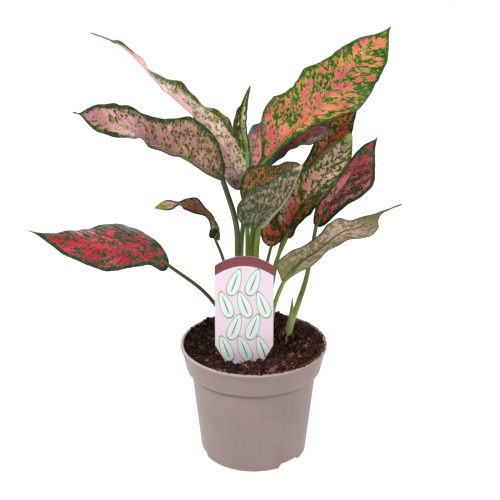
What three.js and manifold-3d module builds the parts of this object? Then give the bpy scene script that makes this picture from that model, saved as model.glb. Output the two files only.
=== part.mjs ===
// A potted Chinese evergreen (Aglaonema): a plastic nursery pot filled with peat, a plain plant
// label, and thirteen variegated leaves that stand on their own stalks in the peat.
// Millimetres, +Z up. The origin is on the table, under the middle of the pot.
import * as THREE from "three";
import { mergeVertices } from "three/addons/utils/BufferGeometryUtils.js";
import Module from "manifold-3d";

// Driving dimensions
const potHeight = 97.5;
const rimRadius = 60; // a 12 cm pot, measured over its rim
const rimBand = 3.6; // the plain band at the rim, above the collar's taper
const collarHeight = 21;
const collarFootRadius = 55.5; // the collar's outside, just above its lower edge
const bodyTopRadius = 51.5;
const footRadius = 43.5;
const footChamfer = 1.5;
const potWall = 1.8;
const lipThickness = 2.4;
const lipRound = 0.8;
const floorHeight = 5; // clear height under the floor
const floorThickness = 2;
const footRingWidth = 3;
const bossRadius = 7; // moulding boss in the middle of the floor, down to the table
const footNotchCount = 3;
const footNotchWidth = 22;
const footNotchAzimuth = -46; // degrees from +X, the first notch
const drainHoleCount = 6;
const drainHoleRadius = 3.5;
const drainCircleRadius = 29;
const roundSides = 40;

const seatGap = 0.35; // between pieces that touch
const soilEdgeHeight = 95;
const soilBackRise = 4.2; // the peat is higher at the back of the pot
const soilClump = 0.9; // height of its clumps
const soilEdgeDrop = 1.5; // where it slopes down to the lip
const soilRings = 8;
const soilSides = 36;

const labelHalfWidth = 23;
const labelThickness = 0.7;
const labelShoulder = 123.5; // from the stake's point to the straight sides' top
const labelArch = 8;
const labelArchSteps = 10;
const labelTaperTop = 57;
const labelTaperFoot = 41;
const labelTaperInset = 5.5;
const labelPointHalfWidth = 3;
const labelLean = 4; // degrees, its top leans back
const labelCentreX = -7.5;
const labelFootY = -33;
const labelFootZ = 52;

const bladeThickness = 0.9;
const bladeSteps = 15; // along the leaf
const halfSteps = 2; // from the midrib to a margin
const leastHalfWidth = 0.4;
const stalkSides = 6;
const stalkSteps = 8;
const ribSteps = 6;
const ribReach = 0.72; // how far the midrib's ridge runs along the blade
const ribTipRadius = 0.35;
const stalkRootZ = 72; // foot of every stalk, in the peat

const collarFoot = potHeight - collarHeight;
const floorTop = floorHeight + floorThickness;

const wasm = await Module();
wasm.setup();
const { Manifold, Mesh } = wasm;

// Solids and meshes
function solidFrom(positions, index) {
  const geometry = new THREE.BufferGeometry();
  geometry.setAttribute("position", new THREE.BufferAttribute(new Float32Array(positions), 3));
  geometry.setIndex(index);
  return toSolid(geometry);
}

function toSolid(geometry) {
  const bare = geometry.clone();
  bare.deleteAttribute("normal");
  bare.deleteAttribute("uv");
  const merged = mergeVertices(bare, 1e-4);
  const vertProperties = new Float32Array(merged.attributes.position.array);
  const triVerts = new Uint32Array(merged.index.array);
  return new Manifold(new Mesh({ numProp: 3, vertProperties, triVerts }));
}

function toGeometry(solid) {
  const mesh = solid.getMesh();
  const geometry = new THREE.BufferGeometry();
  geometry.setAttribute("position", new THREE.BufferAttribute(new Float32Array(mesh.vertProperties), 3));
  geometry.setIndex(new THREE.BufferAttribute(new Uint32Array(mesh.triVerts), 1));
  geometry.computeVertexNormals();
  return geometry;
}

// A closed solid from rings of points: each ring has the same count, ends are closed by fans.
function ringSolid(rings) {
  const sides = rings[0].length;
  const positions = rings.flat().flatMap((p) => [p.x, p.y, p.z]);
  const index = [];
  for (let i = 0; i < rings.length - 1; i++) {
    for (let j = 0; j < sides; j++) {
      const a = i * sides + j;
      const b = i * sides + ((j + 1) % sides);
      index.push(a, b, b + sides, a, b + sides, a + sides);
    }
  }
  const last = (rings.length - 1) * sides;
  for (let j = 1; j < sides - 1; j++) {
    index.push(0, j + 1, j);
    index.push(last, last + j, last + j + 1);
  }
  return solidFrom(positions, index);
}

function lathe(profile, sides) {
  const geometry = new THREE.LatheGeometry(profile.map(([r, z]) => new THREE.Vector2(r, z)), sides);
  geometry.rotateX(Math.PI / 2);
  return toSolid(geometry);
}

// Catmull-Rom through evenly spaced values, which are numbers or vectors, at t from 0 to 1.
function along(values, t) {
  const n = values.length - 1;
  const x = Math.min(Math.max(t, 0), 1) * n;
  const i = Math.min(Math.floor(x), n - 1);
  const f = x - i;
  const mix = (a, b, c, d) =>
    0.5 * (2 * b + (c - a) * f + (2 * a - 5 * b + 4 * c - d) * f * f + (3 * b - a - 3 * c + d) * f ** 3);
  const pick = (k, at) => {
    if (k < 0) return 2 * at(0) - at(1);
    if (k > n) return 2 * at(n) - at(n - 1);
    return at(k);
  };
  const one = (at) => mix(pick(i - 1, at), at(i), at(i + 1), pick(i + 2, at));
  if (typeof values[0] === "number") return one((k) => values[k]);
  return new THREE.Vector3(...[0, 1, 2].map((axis) => one((k) => values[k][axis])));
}

function bodyRadiusAt(z) {
  return footRadius + ((bodyTopRadius - footRadius) * z) / collarFoot;
}

// The pot: rim lip, collar, tapered body, raised floor, foot ring with notches, drain holes.
function makePot() {
  const footOutside = footRadius - footChamfer;
  const rimTaperTop = potHeight - rimBand;
  const ledge = 0.9; // round of the collar's lower edge
  const corner = 3; // round between the floor and the wall
  const profile = [
    [0, floorTop],
    [0, 0],
    [bossRadius, 0],
    [bossRadius, floorHeight],
    [footOutside - footRingWidth, floorHeight],
    [footOutside - footRingWidth, 0],
    [footOutside, 0],
    [bodyRadiusAt(footChamfer), footChamfer],
    [bodyRadiusAt(collarFoot - ledge), collarFoot - ledge],
    [collarFootRadius - ledge, collarFoot],
    [collarFootRadius, collarFoot + ledge],
    [rimRadius - 1.2, rimTaperTop],
    [rimRadius, rimTaperTop + 1],
    [rimRadius, potHeight - lipRound],
    [rimRadius - lipRound, potHeight],
    [rimRadius - lipThickness + lipRound / 2, potHeight],
    [rimRadius - lipThickness, potHeight - lipRound],
    [collarFootRadius - potWall, collarFoot + potWall],
    [bodyTopRadius - potWall, collarFoot],
    [bodyRadiusAt(floorTop + corner) - potWall, floorTop + corner],
    [bodyRadiusAt(floorTop) - potWall - corner, floorTop],
    [0, floorTop],
  ];
  let pot = lathe(profile, roundSides);
  for (let i = 0; i < footNotchCount; i++) {
    const notch = new THREE.BoxGeometry(4 * footRingWidth, footNotchWidth, floorHeight + 1);
    notch.translate(footRadius, 0, (floorHeight - 1) / 2);
    notch.rotateZ(THREE.MathUtils.degToRad(footNotchAzimuth + (i * 360) / footNotchCount));
    pot = pot.subtract(toSolid(notch));
  }
  for (let i = 0; i < drainHoleCount; i++) {
    const hole = new THREE.CylinderGeometry(drainHoleRadius, drainHoleRadius, 4 * floorThickness, 12);
    hole.rotateX(Math.PI / 2);
    hole.translate(drainCircleRadius, 0, floorTop - floorThickness / 2);
    hole.rotateZ(((i + 0.5) * 2 * Math.PI) / drainHoleCount);
    pot = pot.subtract(toSolid(hole));
  }
  return pot;
}

// Height of the peat: higher at the back, heaped in front of the label and at the back left,
// with clumps from crossed waves, and sloping down to the lip all round.
function soilHeight(x, y) {
  const { smoothstep } = THREE.MathUtils;
  const rise = soilBackRise * smoothstep(y, -25, 45);
  const heap = (cx, cy, reach, height) => height * Math.exp(-((x - cx) ** 2 + (y - cy) ** 2) / reach ** 2);
  const clumps = Math.sin(x * 0.55 + 1) * Math.cos(y * 0.48) + 0.6 * Math.sin(x * 0.31 - y * 0.63 + 2);
  const heaps = heap(3, -37, 9, 3) + heap(-36, 34, 14, 1.5) + heap(24, 32, 12, 1.5);
  const drop = soilEdgeDrop * smoothstep(Math.hypot(x, y), 49, 56);
  return soilEdgeHeight + rise + heaps + soilClump * clumps - drop;
}

// The peat: a plug that fills the pot, with the stalks' holes and the label's slot in it.
function makeSoil(stalkHoles) {
  const foot = floorTop + seatGap;
  const wallAt = (z) => bodyRadiusAt(z) - potWall - 2 * seatGap;
  const bodyRings = [
    [wallAt(foot) - 3.5, foot],
    [wallAt(foot + 3.5), foot + 3.5],
    [wallAt(collarFoot) - 0.3, collarFoot],
    [collarFootRadius - potWall - 2 * seatGap, collarFoot + potWall + 2 * seatGap],
  ];
  const topRadius = rimRadius - lipThickness - 1.4;
  const circle = (radius, height) => {
    const ring = [];
    for (let j = 0; j < soilSides; j++) {
      const angle = (j * 2 * Math.PI) / soilSides;
      const x = radius * Math.cos(angle);
      const y = radius * Math.sin(angle);
      ring.push(new THREE.Vector3(x, y, height ?? soilHeight(x, y)));
    }
    return ring;
  };
  const rings = bodyRings.map(([radius, z]) => circle(radius, z));
  for (let i = 0; i < soilRings; i++) rings.push(circle(topRadius * (1 - i / soilRings)));
  let soil = ringSolid(rings);
  for (const hole of stalkHoles) soil = soil.subtract(hole);
  return soil.subtract(makeLabel(seatGap));
}

// The label: a flat card with an arched top, tapered at the foot into a stake. With a margin it
// is the slot that the card stands in.
function makeLabel(margin = 0) {
  const half = labelHalfWidth + 2 * margin;
  const outline = new THREE.Shape();
  outline.moveTo(0, -2 * margin);
  outline.lineTo(labelPointHalfWidth + 2 * margin, 1 - margin);
  outline.lineTo(half - labelTaperInset, labelTaperFoot);
  outline.lineTo(half, labelTaperTop);
  outline.lineTo(half, labelShoulder);
  for (let i = 1; i < labelArchSteps; i++) {
    const x = half * (1 - (2 * i) / labelArchSteps);
    outline.lineTo(x, labelShoulder + labelArch * (1 - (x / half) ** 2));
  }
  outline.lineTo(-half, labelShoulder);
  outline.lineTo(-half, labelTaperTop);
  outline.lineTo(labelTaperInset - half, labelTaperFoot);
  outline.lineTo(-labelPointHalfWidth - 2 * margin, 1 - margin);
  outline.closePath();
  const thickness = labelThickness + 2 * margin;
  const card = new THREE.ExtrudeGeometry(outline, { depth: thickness, bevelEnabled: false });
  card.translate(0, 0, -thickness / 2);
  card.rotateX(Math.PI / 2 - THREE.MathUtils.degToRad(labelLean));
  card.translate(labelCentreX, labelFootY, labelFootZ);
  return toSolid(card);
}

// A leaf's place and form. spine: the midrib from blade base to tip. face: where the upper side
// looks, along the blade. left, right: half widths at stations that crowd towards both ends, seen
// from above with the tip forward. riseLeft, riseRight: degrees that each half is folded up at the
// midrib, along the blade. curl: degrees more that a half has turned at its margin. wave: how far
// the margins wave up and down, and how many waves there are. stalk: from the peat to the blade.
// thick: the stalk's radius in the peat and at the blade.
const leaves = [
  {
    name: "leaf_lower_left",
    color: 0xc23a4c,
    stalk: [[-19, -2, stalkRootZ], [-20, -2, 100], [-26, -4, 124], [-41, -8, 147]],
    thick: [2, 1.4],
    spine: [
      [-67, -14, 171], [-81, -23, 187], [-101, -32, 194],
      [-123, -42, 199], [-145, -51, 207], [-166, -60, 218],
    ],
    face: [[0.1, -0.6, 0.8], [0, -0.6, 0.8], [-0.1, -0.55, 0.8]],
    left: [2, 8, 10, 16, 19.5, 14, 5, 1, 0.5],
    right: [2, 8, 13, 23, 23.5, 14.5, 5.5, 1, 0.5],
    riseLeft: [10, 5, 0],
    riseRight: [10, 5, 0],
    curl: -18,
    wave: [1.5, 3],
  },
  {
    name: "leaf_small_curled",
    color: 0x8d7560,
    stalk: [[-15, 8, stalkRootZ], [-15, 8, 100], [-17, 7, 130], [-24, 6, 166]],
    thick: [1.7, 1.2],
    spine: [
      [-31, 8, 185], [-29, 9, 194], [-36, 12, 205], [-47, 16, 210],
      [-58, 20, 211], [-69, 24, 207], [-80, 28, 204],
    ],
    face: [[-0.9, -0.4, -0.1], [-0.8, -0.6, 0.3], [-0.1, -0.8, 0.6], [0, -0.7, 0.7]],
    left: [1.5, 4, 6, 5, 8, 3, 5, 3, 0.5],
    right: [1.5, 4, 6, 5, 8, 3, 4, 2, 0.5],
    riseLeft: [40, 40, 30],
    riseRight: [40, 40, 30],
    curl: 0,
    wave: [1.5, 2],
  },
  {
    name: "leaf_mid_left",
    color: 0xb9827f,
    stalk: [[-12, -6, stalkRootZ], [-12, -6, 100], [-12.5, -6, 172], [-14, -8, 205]],
    thick: [3, 2.2],
    spine: [
      [-24, -14, 243], [-46, -24, 260], [-67, -34, 275],
      [-89, -45, 291], [-106, -55, 300], [-123, -62, 309],
    ],
    face: [[0.58, -0.38, 0.72], [0.5, -0.4, 0.75], [0.3, -0.6, 0.7]],
    left: [2, 6, 10, 15, 20, 23, 24, 21.5, 18, 18, 19, 14, 14, 10, 6, 2, 0.6],
    right: [2, 7, 12, 18, 25, 29.5, 30.5, 21, 17.5, 20, 16.5, 15, 13, 9.5, 5, 2, 0.6],
    riseLeft: [48, 46, 46, 35, 15, 5],
    riseRight: [45, 42, 30, 15, 5, 5],
    curl: 0,
    wave: [2.5, 3],
  },
  {
    name: "leaf_upper_left",
    color: 0xe3a3ab,
    stalk: [[-8, 12, stalkRootZ], [-8, 12, 100], [-10, 12, 168], [-8, 16, 200]],
    thick: [2.4, 1.9],
    spine: [
      [-8, 18, 224], [-25, 26, 256], [-45, 33, 278],
      [-72, 40, 301], [-102, 47, 331], [-128, 52, 341],
    ],
    face: [[0.8, -0.2, 0.5], [0.75, -0.1, 0.65], [0.7, -0.1, 0.7]],
    left: [2, 10, 16, 18, 15, 9, 5, 3, 0.5],
    right: [2, 9, 17, 21, 20, 8, 5, 3.5, 0.5],
    riseLeft: [26, 26, 24],
    riseRight: [20, 20, 10],
    curl: 0,
    wave: [3, 4],
  },
  {
    name: "leaf_new_spear",
    color: 0x5f7a2c,
    stalk: [[-4, 6, stalkRootZ], [-4, 6, 100], [-5, 6, 168], [-5, 7, 215]],
    thick: [2.2, 1.5],
    spine: [[-5, 4, 259], [-9, 4, 276], [-9, 5, 288], [-7, 6, 298], [-3, 7, 310]],
    face: [[0.1, -0.9, 0.1], [0.1, -0.9, 0.1]],
    left: [1.5, 3, 7, 10, 8, 4, 1.5, 0.8, 0.5],
    right: [1.5, 3, 6, 7, 6, 4, 2, 1, 0.5],
    riseLeft: [30, 25, 20],
    riseRight: [30, 25, 20],
    curl: 20,
    wave: [0.5, 2],
  },
  {
    name: "leaf_upper_right",
    color: 0xd9656f,
    stalk: [[-2, -1, stalkRootZ], [-2, -1, 100], [-2, 0, 172], [1, 4, 210]],
    thick: [2.5, 2.1],
    spine: [
      [5, 8, 245], [22.5, 19, 263], [42, 30, 278], [61, 41, 297],
      [78, 52, 314], [96, 63, 332], [109, 71, 342],
    ],
    face: [[-0.3, -0.85, 0.45], [-0.3, -0.8, 0.5]],
    left: [3, 3.5, 4.5, 10, 20, 30, 31, 27.5, 28.5, 21.5, 19, 13, 5, 2, 1, 0.6, 0.5],
    right: [3, 3.5, 4, 4.5, 5.5, 6.5, 10, 21, 28, 28, 24.5, 19.5, 12.5, 6.5, 2.5, 0.8, 0.5],
    riseLeft: [5, 5],
    riseRight: [30, 10, 0],
    curl: 0,
    wave: [2, 3.5],
  },
  {
    name: "leaf_under_upper_right",
    color: 0x8c4a4c,
    stalk: [[3, 13, stalkRootZ], [3, 13, 100], [2, 14, 172], [1, 17, 205]],
    thick: [2.3, 1.9],
    spine: [[2, 20, 234], [13, 28, 248], [29, 37, 260], [45, 45, 271], [61, 52, 281]],
    face: [[-0.3, -0.7, 0.6], [-0.3, -0.7, 0.6]],
    left: [3, 6.5, 15, 28, 27, 22, 14, 5, 0.5],
    right: [3, 5, 7.5, 11.5, 17, 26, 19, 6, 0.5],
    riseLeft: [5, 5],
    riseRight: [20, 20],
    curl: 0,
    wave: [2, 3],
  },
  {
    name: "leaf_behind_right",
    color: 0x9c4436,
    stalk: [[11, 10, stalkRootZ], [11, 10, 100], [14, 12, 135], [21, 17, 171]],
    thick: [2, 1.5],
    spine: [[40, 29, 231], [51, 38, 245], [64, 47, 258], [75, 56, 271], [84, 64, 284]],
    face: [[-0.3, -0.8, 0.5], [-0.3, -0.8, 0.5]],
    left: [2, 6, 6, 8, 13, 14, 9, 3, 0.5],
    right: [2, 9, 14, 16, 16, 9, 5, 3, 0.5],
    riseLeft: [20, 10, 5],
    riseRight: [20, 10, 5],
    curl: 0,
    wave: [1.5, 2.5],
  },
  {
    name: "leaf_mid_right",
    color: 0x6f6a48,
    stalk: [[11, -2, stalkRootZ], [11, -2, 100], [13, -2, 145], [18, -2, 170]],
    thick: [2.1, 1.5],
    spine: [[26, -2, 190], [32, 1, 206], [41, 5, 219], [51, 9, 232], [62, 14, 247], [76, 22, 268]],
    face: [[-0.3, -0.8, 0.5], [-0.3, -0.8, 0.5]],
    left: [2, 8, 14, 17, 17, 14, 10, 3, 0.5],
    right: [2, 7, 8, 13, 15, 15, 13, 5, 0.5],
    riseLeft: [25, 15, 5],
    riseRight: [35, 25, 5],
    curl: 0,
    wave: [1.5, 3],
  },
  {
    name: "leaf_front_centre",
    color: 0x8c7d66,
    stalk: [[2, -9, stalkRootZ], [2, -9, 100], [1, -8, 150], [2, -8, 180]],
    thick: [2.5, 2.1],
    spine: [
      [4, -8, 201], [12, -17, 213], [19, -26, 224],
      [26, -36, 238], [31, -45, 252], [35, -54, 266],
    ],
    face: [[-0.6, 0.42, 0.68], [-0.6, 0.42, 0.68]],
    left: [2, 7, 12, 19, 25, 32, 36, 36, 34, 29, 24.5, 19, 14.5, 9, 5, 1.5, 0.5],
    right: [2, 15, 26, 29, 27, 20, 12, 4, 0.5],
    riseLeft: [62, 62, 50],
    riseRight: [15, 50, 50, 47, 45],
    curl: 0,
    wave: [1.5, 2.5],
  },
  {
    name: "leaf_small_red",
    color: 0xc1554c,
    stalk: [[6, 4, stalkRootZ], [6, 4, 100], [8, 5, 145], [11, 6, 166]],
    thick: [1.7, 1.2],
    spine: [[14, 7, 179], [14, 8, 187], [15, 10, 196], [18, 12, 208], [21, 14, 218]],
    face: [[-0.1, -0.8, 0.5], [-0.1, -0.8, 0.5]],
    left: [2, 4, 7, 9, 9, 7, 5, 2, 0.5],
    right: [2, 4, 8, 10, 9, 7, 5, 2, 0.5],
    riseLeft: [15, 10, 5],
    riseRight: [15, 10, 5],
    curl: 0,
    wave: [1, 2],
  },
  {
    name: "leaf_lower_right",
    color: 0x9f8a78,
    stalk: [[11, -12, stalkRootZ], [11, -12, 100], [14, -10, 122], [18, -10, 140]],
    thick: [2.2, 1.7],
    spine: [
      [24, -12, 157], [35, -20, 176], [49, -28, 190], [66, -38, 209],
      [80, -47, 217], [93, -56, 231], [107, -66, 241],
    ],
    face: [[-0.3, 0.85, 0.35], [-0.3, 0.85, 0.35], [-0.2, 0.8, 0.4]],
    left: [2, 4, 10.5, 9, 15, 12.5, 3, 1, 0.5],
    right: [2, 7, 17, 16, 16, 10, 1.5, 1, 0.5],
    riseLeft: [0, 0],
    riseRight: [0, 0],
    curl: 0,
    wave: [1.5, 3],
  },
  {
    name: "leaf_right_red",
    color: 0xc8435a,
    stalk: [[28, 17, stalkRootZ], [29.2, 17, 99], [36.5, 18, 123], [43.5, 18, 149]],
    thick: [3.2, 1.6],
    spine: [[50, 16, 193], [61, 23, 209], [72, 30, 221], [82, 38, 235], [91, 45, 246], [100, 52, 256]],
    face: [[-0.3, -0.8, 0.5], [-0.3, -0.8, 0.5]],
    left: [2, 5, 9, 11, 9, 7, 5, 1, 0.5],
    right: [2, 6.5, 10.5, 14, 22.5, 14.5, 6, 1.5, 0.5],
    riseLeft: [15, 10, 5],
    riseRight: [15, 10, 5],
    curl: 0,
    wave: [1.5, 2.5],
  },
];

// Directions at t on the midrib: along it, out of the upper side, and to the right.
function bladeFrame(leaf, t) {
  const step = 1e-3;
  const ahead = along(leaf.spine, Math.min(t + step, 1));
  const behind = along(leaf.spine, Math.max(t - step, 0));
  const tangent = ahead.sub(behind).normalize();
  const up = along(leaf.face, t);
  up.addScaledVector(tangent, -up.dot(tangent)).normalize();
  return { point: along(leaf.spine, t), tangent, up, side: tangent.clone().cross(up) };
}

// A point of the blade's middle surface, v from -1 at the left margin to 1 at the right one.
function bladePoint(leaf, t, v) {
  const { point, up, side } = bladeFrame(leaf, t);
  const station = Math.acos(1 - 2 * t) / Math.PI;
  const width = Math.max(along(v > 0 ? leaf.right : leaf.left, station), leastHalfWidth);
  const out = Math.abs(v);
  const rise = along(v > 0 ? leaf.riseRight : leaf.riseLeft, t) + leaf.curl * out;
  const angle = THREE.MathUtils.degToRad(rise);
  const [height, count] = leaf.wave;
  const turn = 2 * Math.PI * count * t + (v > 0 ? 0 : 2);
  const lift = height * out * out * Math.sin(turn) * Math.sin(Math.PI * t);
  point.addScaledVector(side, v * width * Math.cos(angle));
  return point.addScaledVector(up, out * width * Math.sin(angle) + lift);
}

// The blade as a closed sheet: both faces are split into triangles along the same diagonals.
function makeBlade(leaf) {
  const columns = 2 * halfSteps + 1;
  const grid = [];
  for (let i = 0; i <= bladeSteps; i++) {
    const t = 0.5 - 0.5 * Math.cos((Math.PI * i) / bladeSteps);
    for (let j = 0; j < columns; j++) grid.push(bladePoint(leaf, t, j / halfSteps - 1));
  }
  const { clamp } = THREE.MathUtils;
  const at = (i, j) => grid[clamp(i, 0, bladeSteps) * columns + clamp(j, 0, columns - 1)];
  const positions = [];
  for (const face of [1, -1]) {
    for (let i = 0; i <= bladeSteps; i++) {
      for (let j = 0; j < columns; j++) {
        const forward = at(i + 1, j).clone().sub(at(i - 1, j));
        const across = at(i, j + 1).clone().sub(at(i, j - 1));
        const normal = across.cross(forward).normalize();
        const p = at(i, j).clone().addScaledVector(normal, (face * bladeThickness) / 2);
        positions.push(p.x, p.y, p.z);
      }
    }
  }
  const under = (bladeSteps + 1) * columns;
  const index = [];
  const quad = (a, b, c, d) => index.push(a, b, c, a, c, d);
  for (let i = 0; i < bladeSteps; i++) {
    for (let j = 0; j < columns - 1; j++) {
      const a = i * columns + j;
      const [b, c, d] = [a + 1, a + columns + 1, a + columns];
      quad(a, b, c, d);
      index.push(under + a, under + c, under + b, under + a, under + d, under + c);
    }
  }
  for (let i = 0; i < bladeSteps; i++) {
    const l = i * columns;
    const r = l + columns - 1;
    quad(l, l + columns, under + l + columns, under + l);
    quad(r, under + r, under + r + columns, r + columns);
  }
  for (let j = 0; j < columns - 1; j++) {
    const tip = bladeSteps * columns + j;
    quad(j, under + j, under + j + 1, j + 1);
    quad(tip, tip + 1, under + tip + 1, under + tip);
  }
  return solidFrom(positions, index);
}

// A tube through points with a radius at each, its ring turned as little as possible on the way.
function tube(points, radii) {
  const rings = [];
  let normal = new THREE.Vector3(1, 0, 0);
  points.forEach((point, i) => {
    const ahead = points[Math.min(i + 1, points.length - 1)];
    const behind = points[Math.max(i - 1, 0)];
    const tangent = ahead.clone().sub(behind).normalize();
    normal = normal.clone().addScaledVector(tangent, -normal.dot(tangent)).normalize();
    const side = tangent.clone().cross(normal);
    const ring = [];
    for (let j = 0; j < stalkSides; j++) {
      const angle = (j * 2 * Math.PI) / stalkSides;
      const p = point.clone().addScaledVector(normal, radii[i] * Math.cos(angle));
      ring.push(p.addScaledVector(side, radii[i] * Math.sin(angle)));
    }
    rings.push(ring);
  });
  return ringSolid(rings);
}

// The stalk runs on under the blade as its midrib, thinner towards the tip. With a margin it is
// the hole in the peat that the stalk stands in.
function makeStalk(leaf, margin = 0) {
  const path = [...leaf.stalk, leaf.spine[0]];
  const [rootRadius, topRadius] = leaf.thick;
  const points = [];
  const radii = [];
  for (let i = 0; i <= stalkSteps; i++) {
    const s = i / stalkSteps;
    points.push(along(path, s));
    radii.push(rootRadius + (topRadius - rootRadius) * s + margin);
  }
  points[0].z -= 2 * margin;
  if (margin > 0) return tube(points, radii);
  for (let i = 1; i <= ribSteps; i++) {
    const t = (ribReach * i) / ribSteps;
    const { point, up } = bladeFrame(leaf, t);
    const radius = topRadius * (1 - t) ** 1.2 + ribTipRadius;
    points.push(point.addScaledVector(up, -0.5 * radius * Math.min(1, i / 2)));
    radii.push(radius);
  }
  return tube(points, radii);
}

// The bract beside the right shoot: a pointed sheath that clasps the stalk's foot.
function makeBract() {
  const foot = new THREE.Vector3(29.8, 16.6, 103);
  const tip = new THREE.Vector3(31.7, 15, 131);
  const points = [0, 0.35, 0.7, 1].map((s) => foot.clone().lerp(tip, s));
  return tube(points, [2.8, 2.6, 1.6, 0.4]);
}

function makeLeaf(leaf) {
  const solid = makeBlade(leaf).add(makeStalk(leaf));
  return leaf.name === "leaf_right_red" ? solid.add(makeBract()) : solid;
}

// The plant
const plant = new THREE.Group();

function addPiece(name, solid, color, roughness) {
  const material = new THREE.MeshStandardMaterial({ color, roughness, metalness: 0 });
  const mesh = new THREE.Mesh(toGeometry(solid), material);
  mesh.name = name;
  plant.add(mesh);
}

addPiece("pot", makePot(), 0xa8938f, 0.5);
const stalkHoles = leaves.map((leaf) => makeStalk(leaf, seatGap));
addPiece("soil", makeSoil(stalkHoles), 0x2e1c16, 1);
addPiece("label", makeLabel(), 0xe6d2df, 0.4);
for (const leaf of leaves) addPiece(leaf.name, makeLeaf(leaf), leaf.color, 0.35);

export default plant;
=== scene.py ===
# A potted Chinese evergreen: nursery pot, peat, plant label and thirteen variegated leaves.
# Lengths in the dictionaries are millimetres in the part's own frame: +Z up, the label towards -Y.
import functools
import math
import bpy
import numpy as np
from mathutils import Matrix


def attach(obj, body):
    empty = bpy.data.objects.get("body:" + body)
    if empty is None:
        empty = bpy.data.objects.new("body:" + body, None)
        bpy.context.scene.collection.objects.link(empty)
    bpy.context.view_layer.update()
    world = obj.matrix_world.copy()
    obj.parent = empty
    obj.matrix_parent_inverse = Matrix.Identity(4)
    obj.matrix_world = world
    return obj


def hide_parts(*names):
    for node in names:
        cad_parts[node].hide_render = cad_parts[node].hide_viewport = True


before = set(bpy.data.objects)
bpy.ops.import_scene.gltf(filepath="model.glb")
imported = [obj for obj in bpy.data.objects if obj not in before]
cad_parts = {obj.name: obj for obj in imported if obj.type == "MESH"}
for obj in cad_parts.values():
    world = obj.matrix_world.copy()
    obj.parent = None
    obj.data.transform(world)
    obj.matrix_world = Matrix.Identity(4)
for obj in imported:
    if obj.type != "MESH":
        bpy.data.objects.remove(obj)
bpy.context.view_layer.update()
mm = 0.001


# sRGB hex to the linear colour that shader sockets take
def paint(hexCode):
    channels = np.array([int(hexCode[i:i + 2], 16) for i in (0, 2, 4)]) / 255
    linear = np.where(channels <= 0.04045, channels / 12.92, ((channels + 0.055) / 1.055) ** 2.4)
    return (*linear.tolist(), 1.0)


# Adds one node and gives the output numbered out, or several. inputs are values, hex colours or
# other nodes' outputs: a dictionary by socket name or number, or a list for the first sockets.
def addNode(tree, kind, inputs=(), out=0, **settings):
    made = tree.nodes.new("ShaderNode" + kind)
    for name, value in settings.items():
        setattr(made, name, value)
    for key, value in inputs.items() if isinstance(inputs, dict) else enumerate(inputs):
        if isinstance(value, bpy.types.NodeSocket):
            tree.links.new(value, made.inputs[key])
        else:
            made.inputs[key].default_value = paint(value) if isinstance(value, str) else value
    return [made.outputs[k] for k in out] if isinstance(out, tuple) else made.outputs[out]


# Settings that many nodes share. timesPlus is a b + c
times, plus, minus, divide, timesPlus, larger = (
    {"operation": word} for word in ("MULTIPLY", "ADD", "SUBTRACT", "DIVIDE", "MULTIPLY_ADD", "MAXIMUM"))
soft = {"interpolation_type": "SMOOTHSTEP"}


# An empty material, and addNode for its tree
def newMaterial(name):
    material = bpy.data.materials.new(name)
    material.use_nodes = True
    material.node_tree.nodes.clear()
    return material, functools.partial(addNode, material.node_tree)


# Coats of colour over a base: each coat is its mask, its colour and, where it isn't 1, its strength
def coats(add, base, *layers):
    for mask, colour, *strength in layers:
        if strength:
            mask = add("Math", [mask, strength[0]], **times)
        base = add("Mix", {0: mask, 6: base, 7: colour}, out=2, data_type="RGBA")
    return base


# Ends a tree with its shader, and with a bump from a height in millimetres if there is one
def finishMaterial(add, inputs, height=None, strength=1.0):
    if height is not None:
        inputs["Normal"] = add("Bump", {"Height": height, "Strength": strength, "Distance": mm})
    add("OutputMaterial", {"Surface": add("BsdfPrincipled", inputs)}, out=())


def newObject(name, data):
    made = bpy.data.objects.new(name, data)
    bpy.context.scene.collection.objects.link(made)
    return made


# faces is a list of arrays of triangles or quads
def newMesh(name, points, faces):
    mesh = bpy.data.meshes.new(name)
    corners = [face for part in faces for face in part.tolist()]
    mesh.from_pydata((np.asarray(points) * mm).tolist(), [], corners)
    return mesh


# An object that rides on the plant's one body. faces holds a list of arrays for each material, and
# attributes an array of vectors for each name, with one vector for each point.
def buildMesh(name, points, faces, materials, attributes=None, sharpAngle=None, rounded=True):
    mesh = newMesh(name, points, [part for group in faces for part in group])
    for material in materials:
        mesh.materials.append(material)
    counts = [sum(len(part) for part in group) for group in faces]
    slots = np.repeat(np.arange(len(faces)), counts).astype(np.int32)
    mesh.polygons.foreach_set("material_index", slots)
    mesh.polygons.foreach_set("use_smooth", np.full(len(slots), rounded))
    for key, values in (attributes or {}).items():
        layer = mesh.attributes.new(key, "FLOAT_VECTOR", "POINT")
        layer.data.foreach_set("vector", np.asarray(values, dtype=np.float32).ravel())
    mesh.update()
    if sharpAngle is not None:
        mesh.set_sharp_from_angle(angle=math.radians(sharpAngle))
    made = newObject(name, mesh)
    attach(made, "root")
    return made


# Quads of a grid of rows x columns points, with the columns closed into a ring where asked
def gridQuads(rows, columns, ring=False, first=0, flip=False):
    i, j = np.meshgrid(np.arange(rows - 1), np.arange(columns if ring else columns - 1), indexing="ij")
    k = (j + 1) % columns
    corners = [i * columns + j, i * columns + k, (i + 1) * columns + k, (i + 1) * columns + j]
    quads = np.stack([corner.ravel() for corner in corners], axis=1) + first
    return quads[:, ::-1] if flip else quads


# Triangles from a ring of points to one point in its middle
def fan(ring, centre, flip=False):
    triangles = np.stack([ring, np.roll(ring, -1), np.full(len(ring), centre)], axis=1)
    return triangles[:, ::-1] if flip else triangles


# Closed skin of rings: the points are rows of columns, then the first and the last ring's middle
def skinFaces(rows, columns):
    ring, size = np.arange(columns), rows * columns
    caps = [fan(ring, size, flip=True), fan(ring + size - columns, size + 1)]
    return [gridQuads(rows, columns, ring=True), np.concatenate(caps)]


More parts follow.
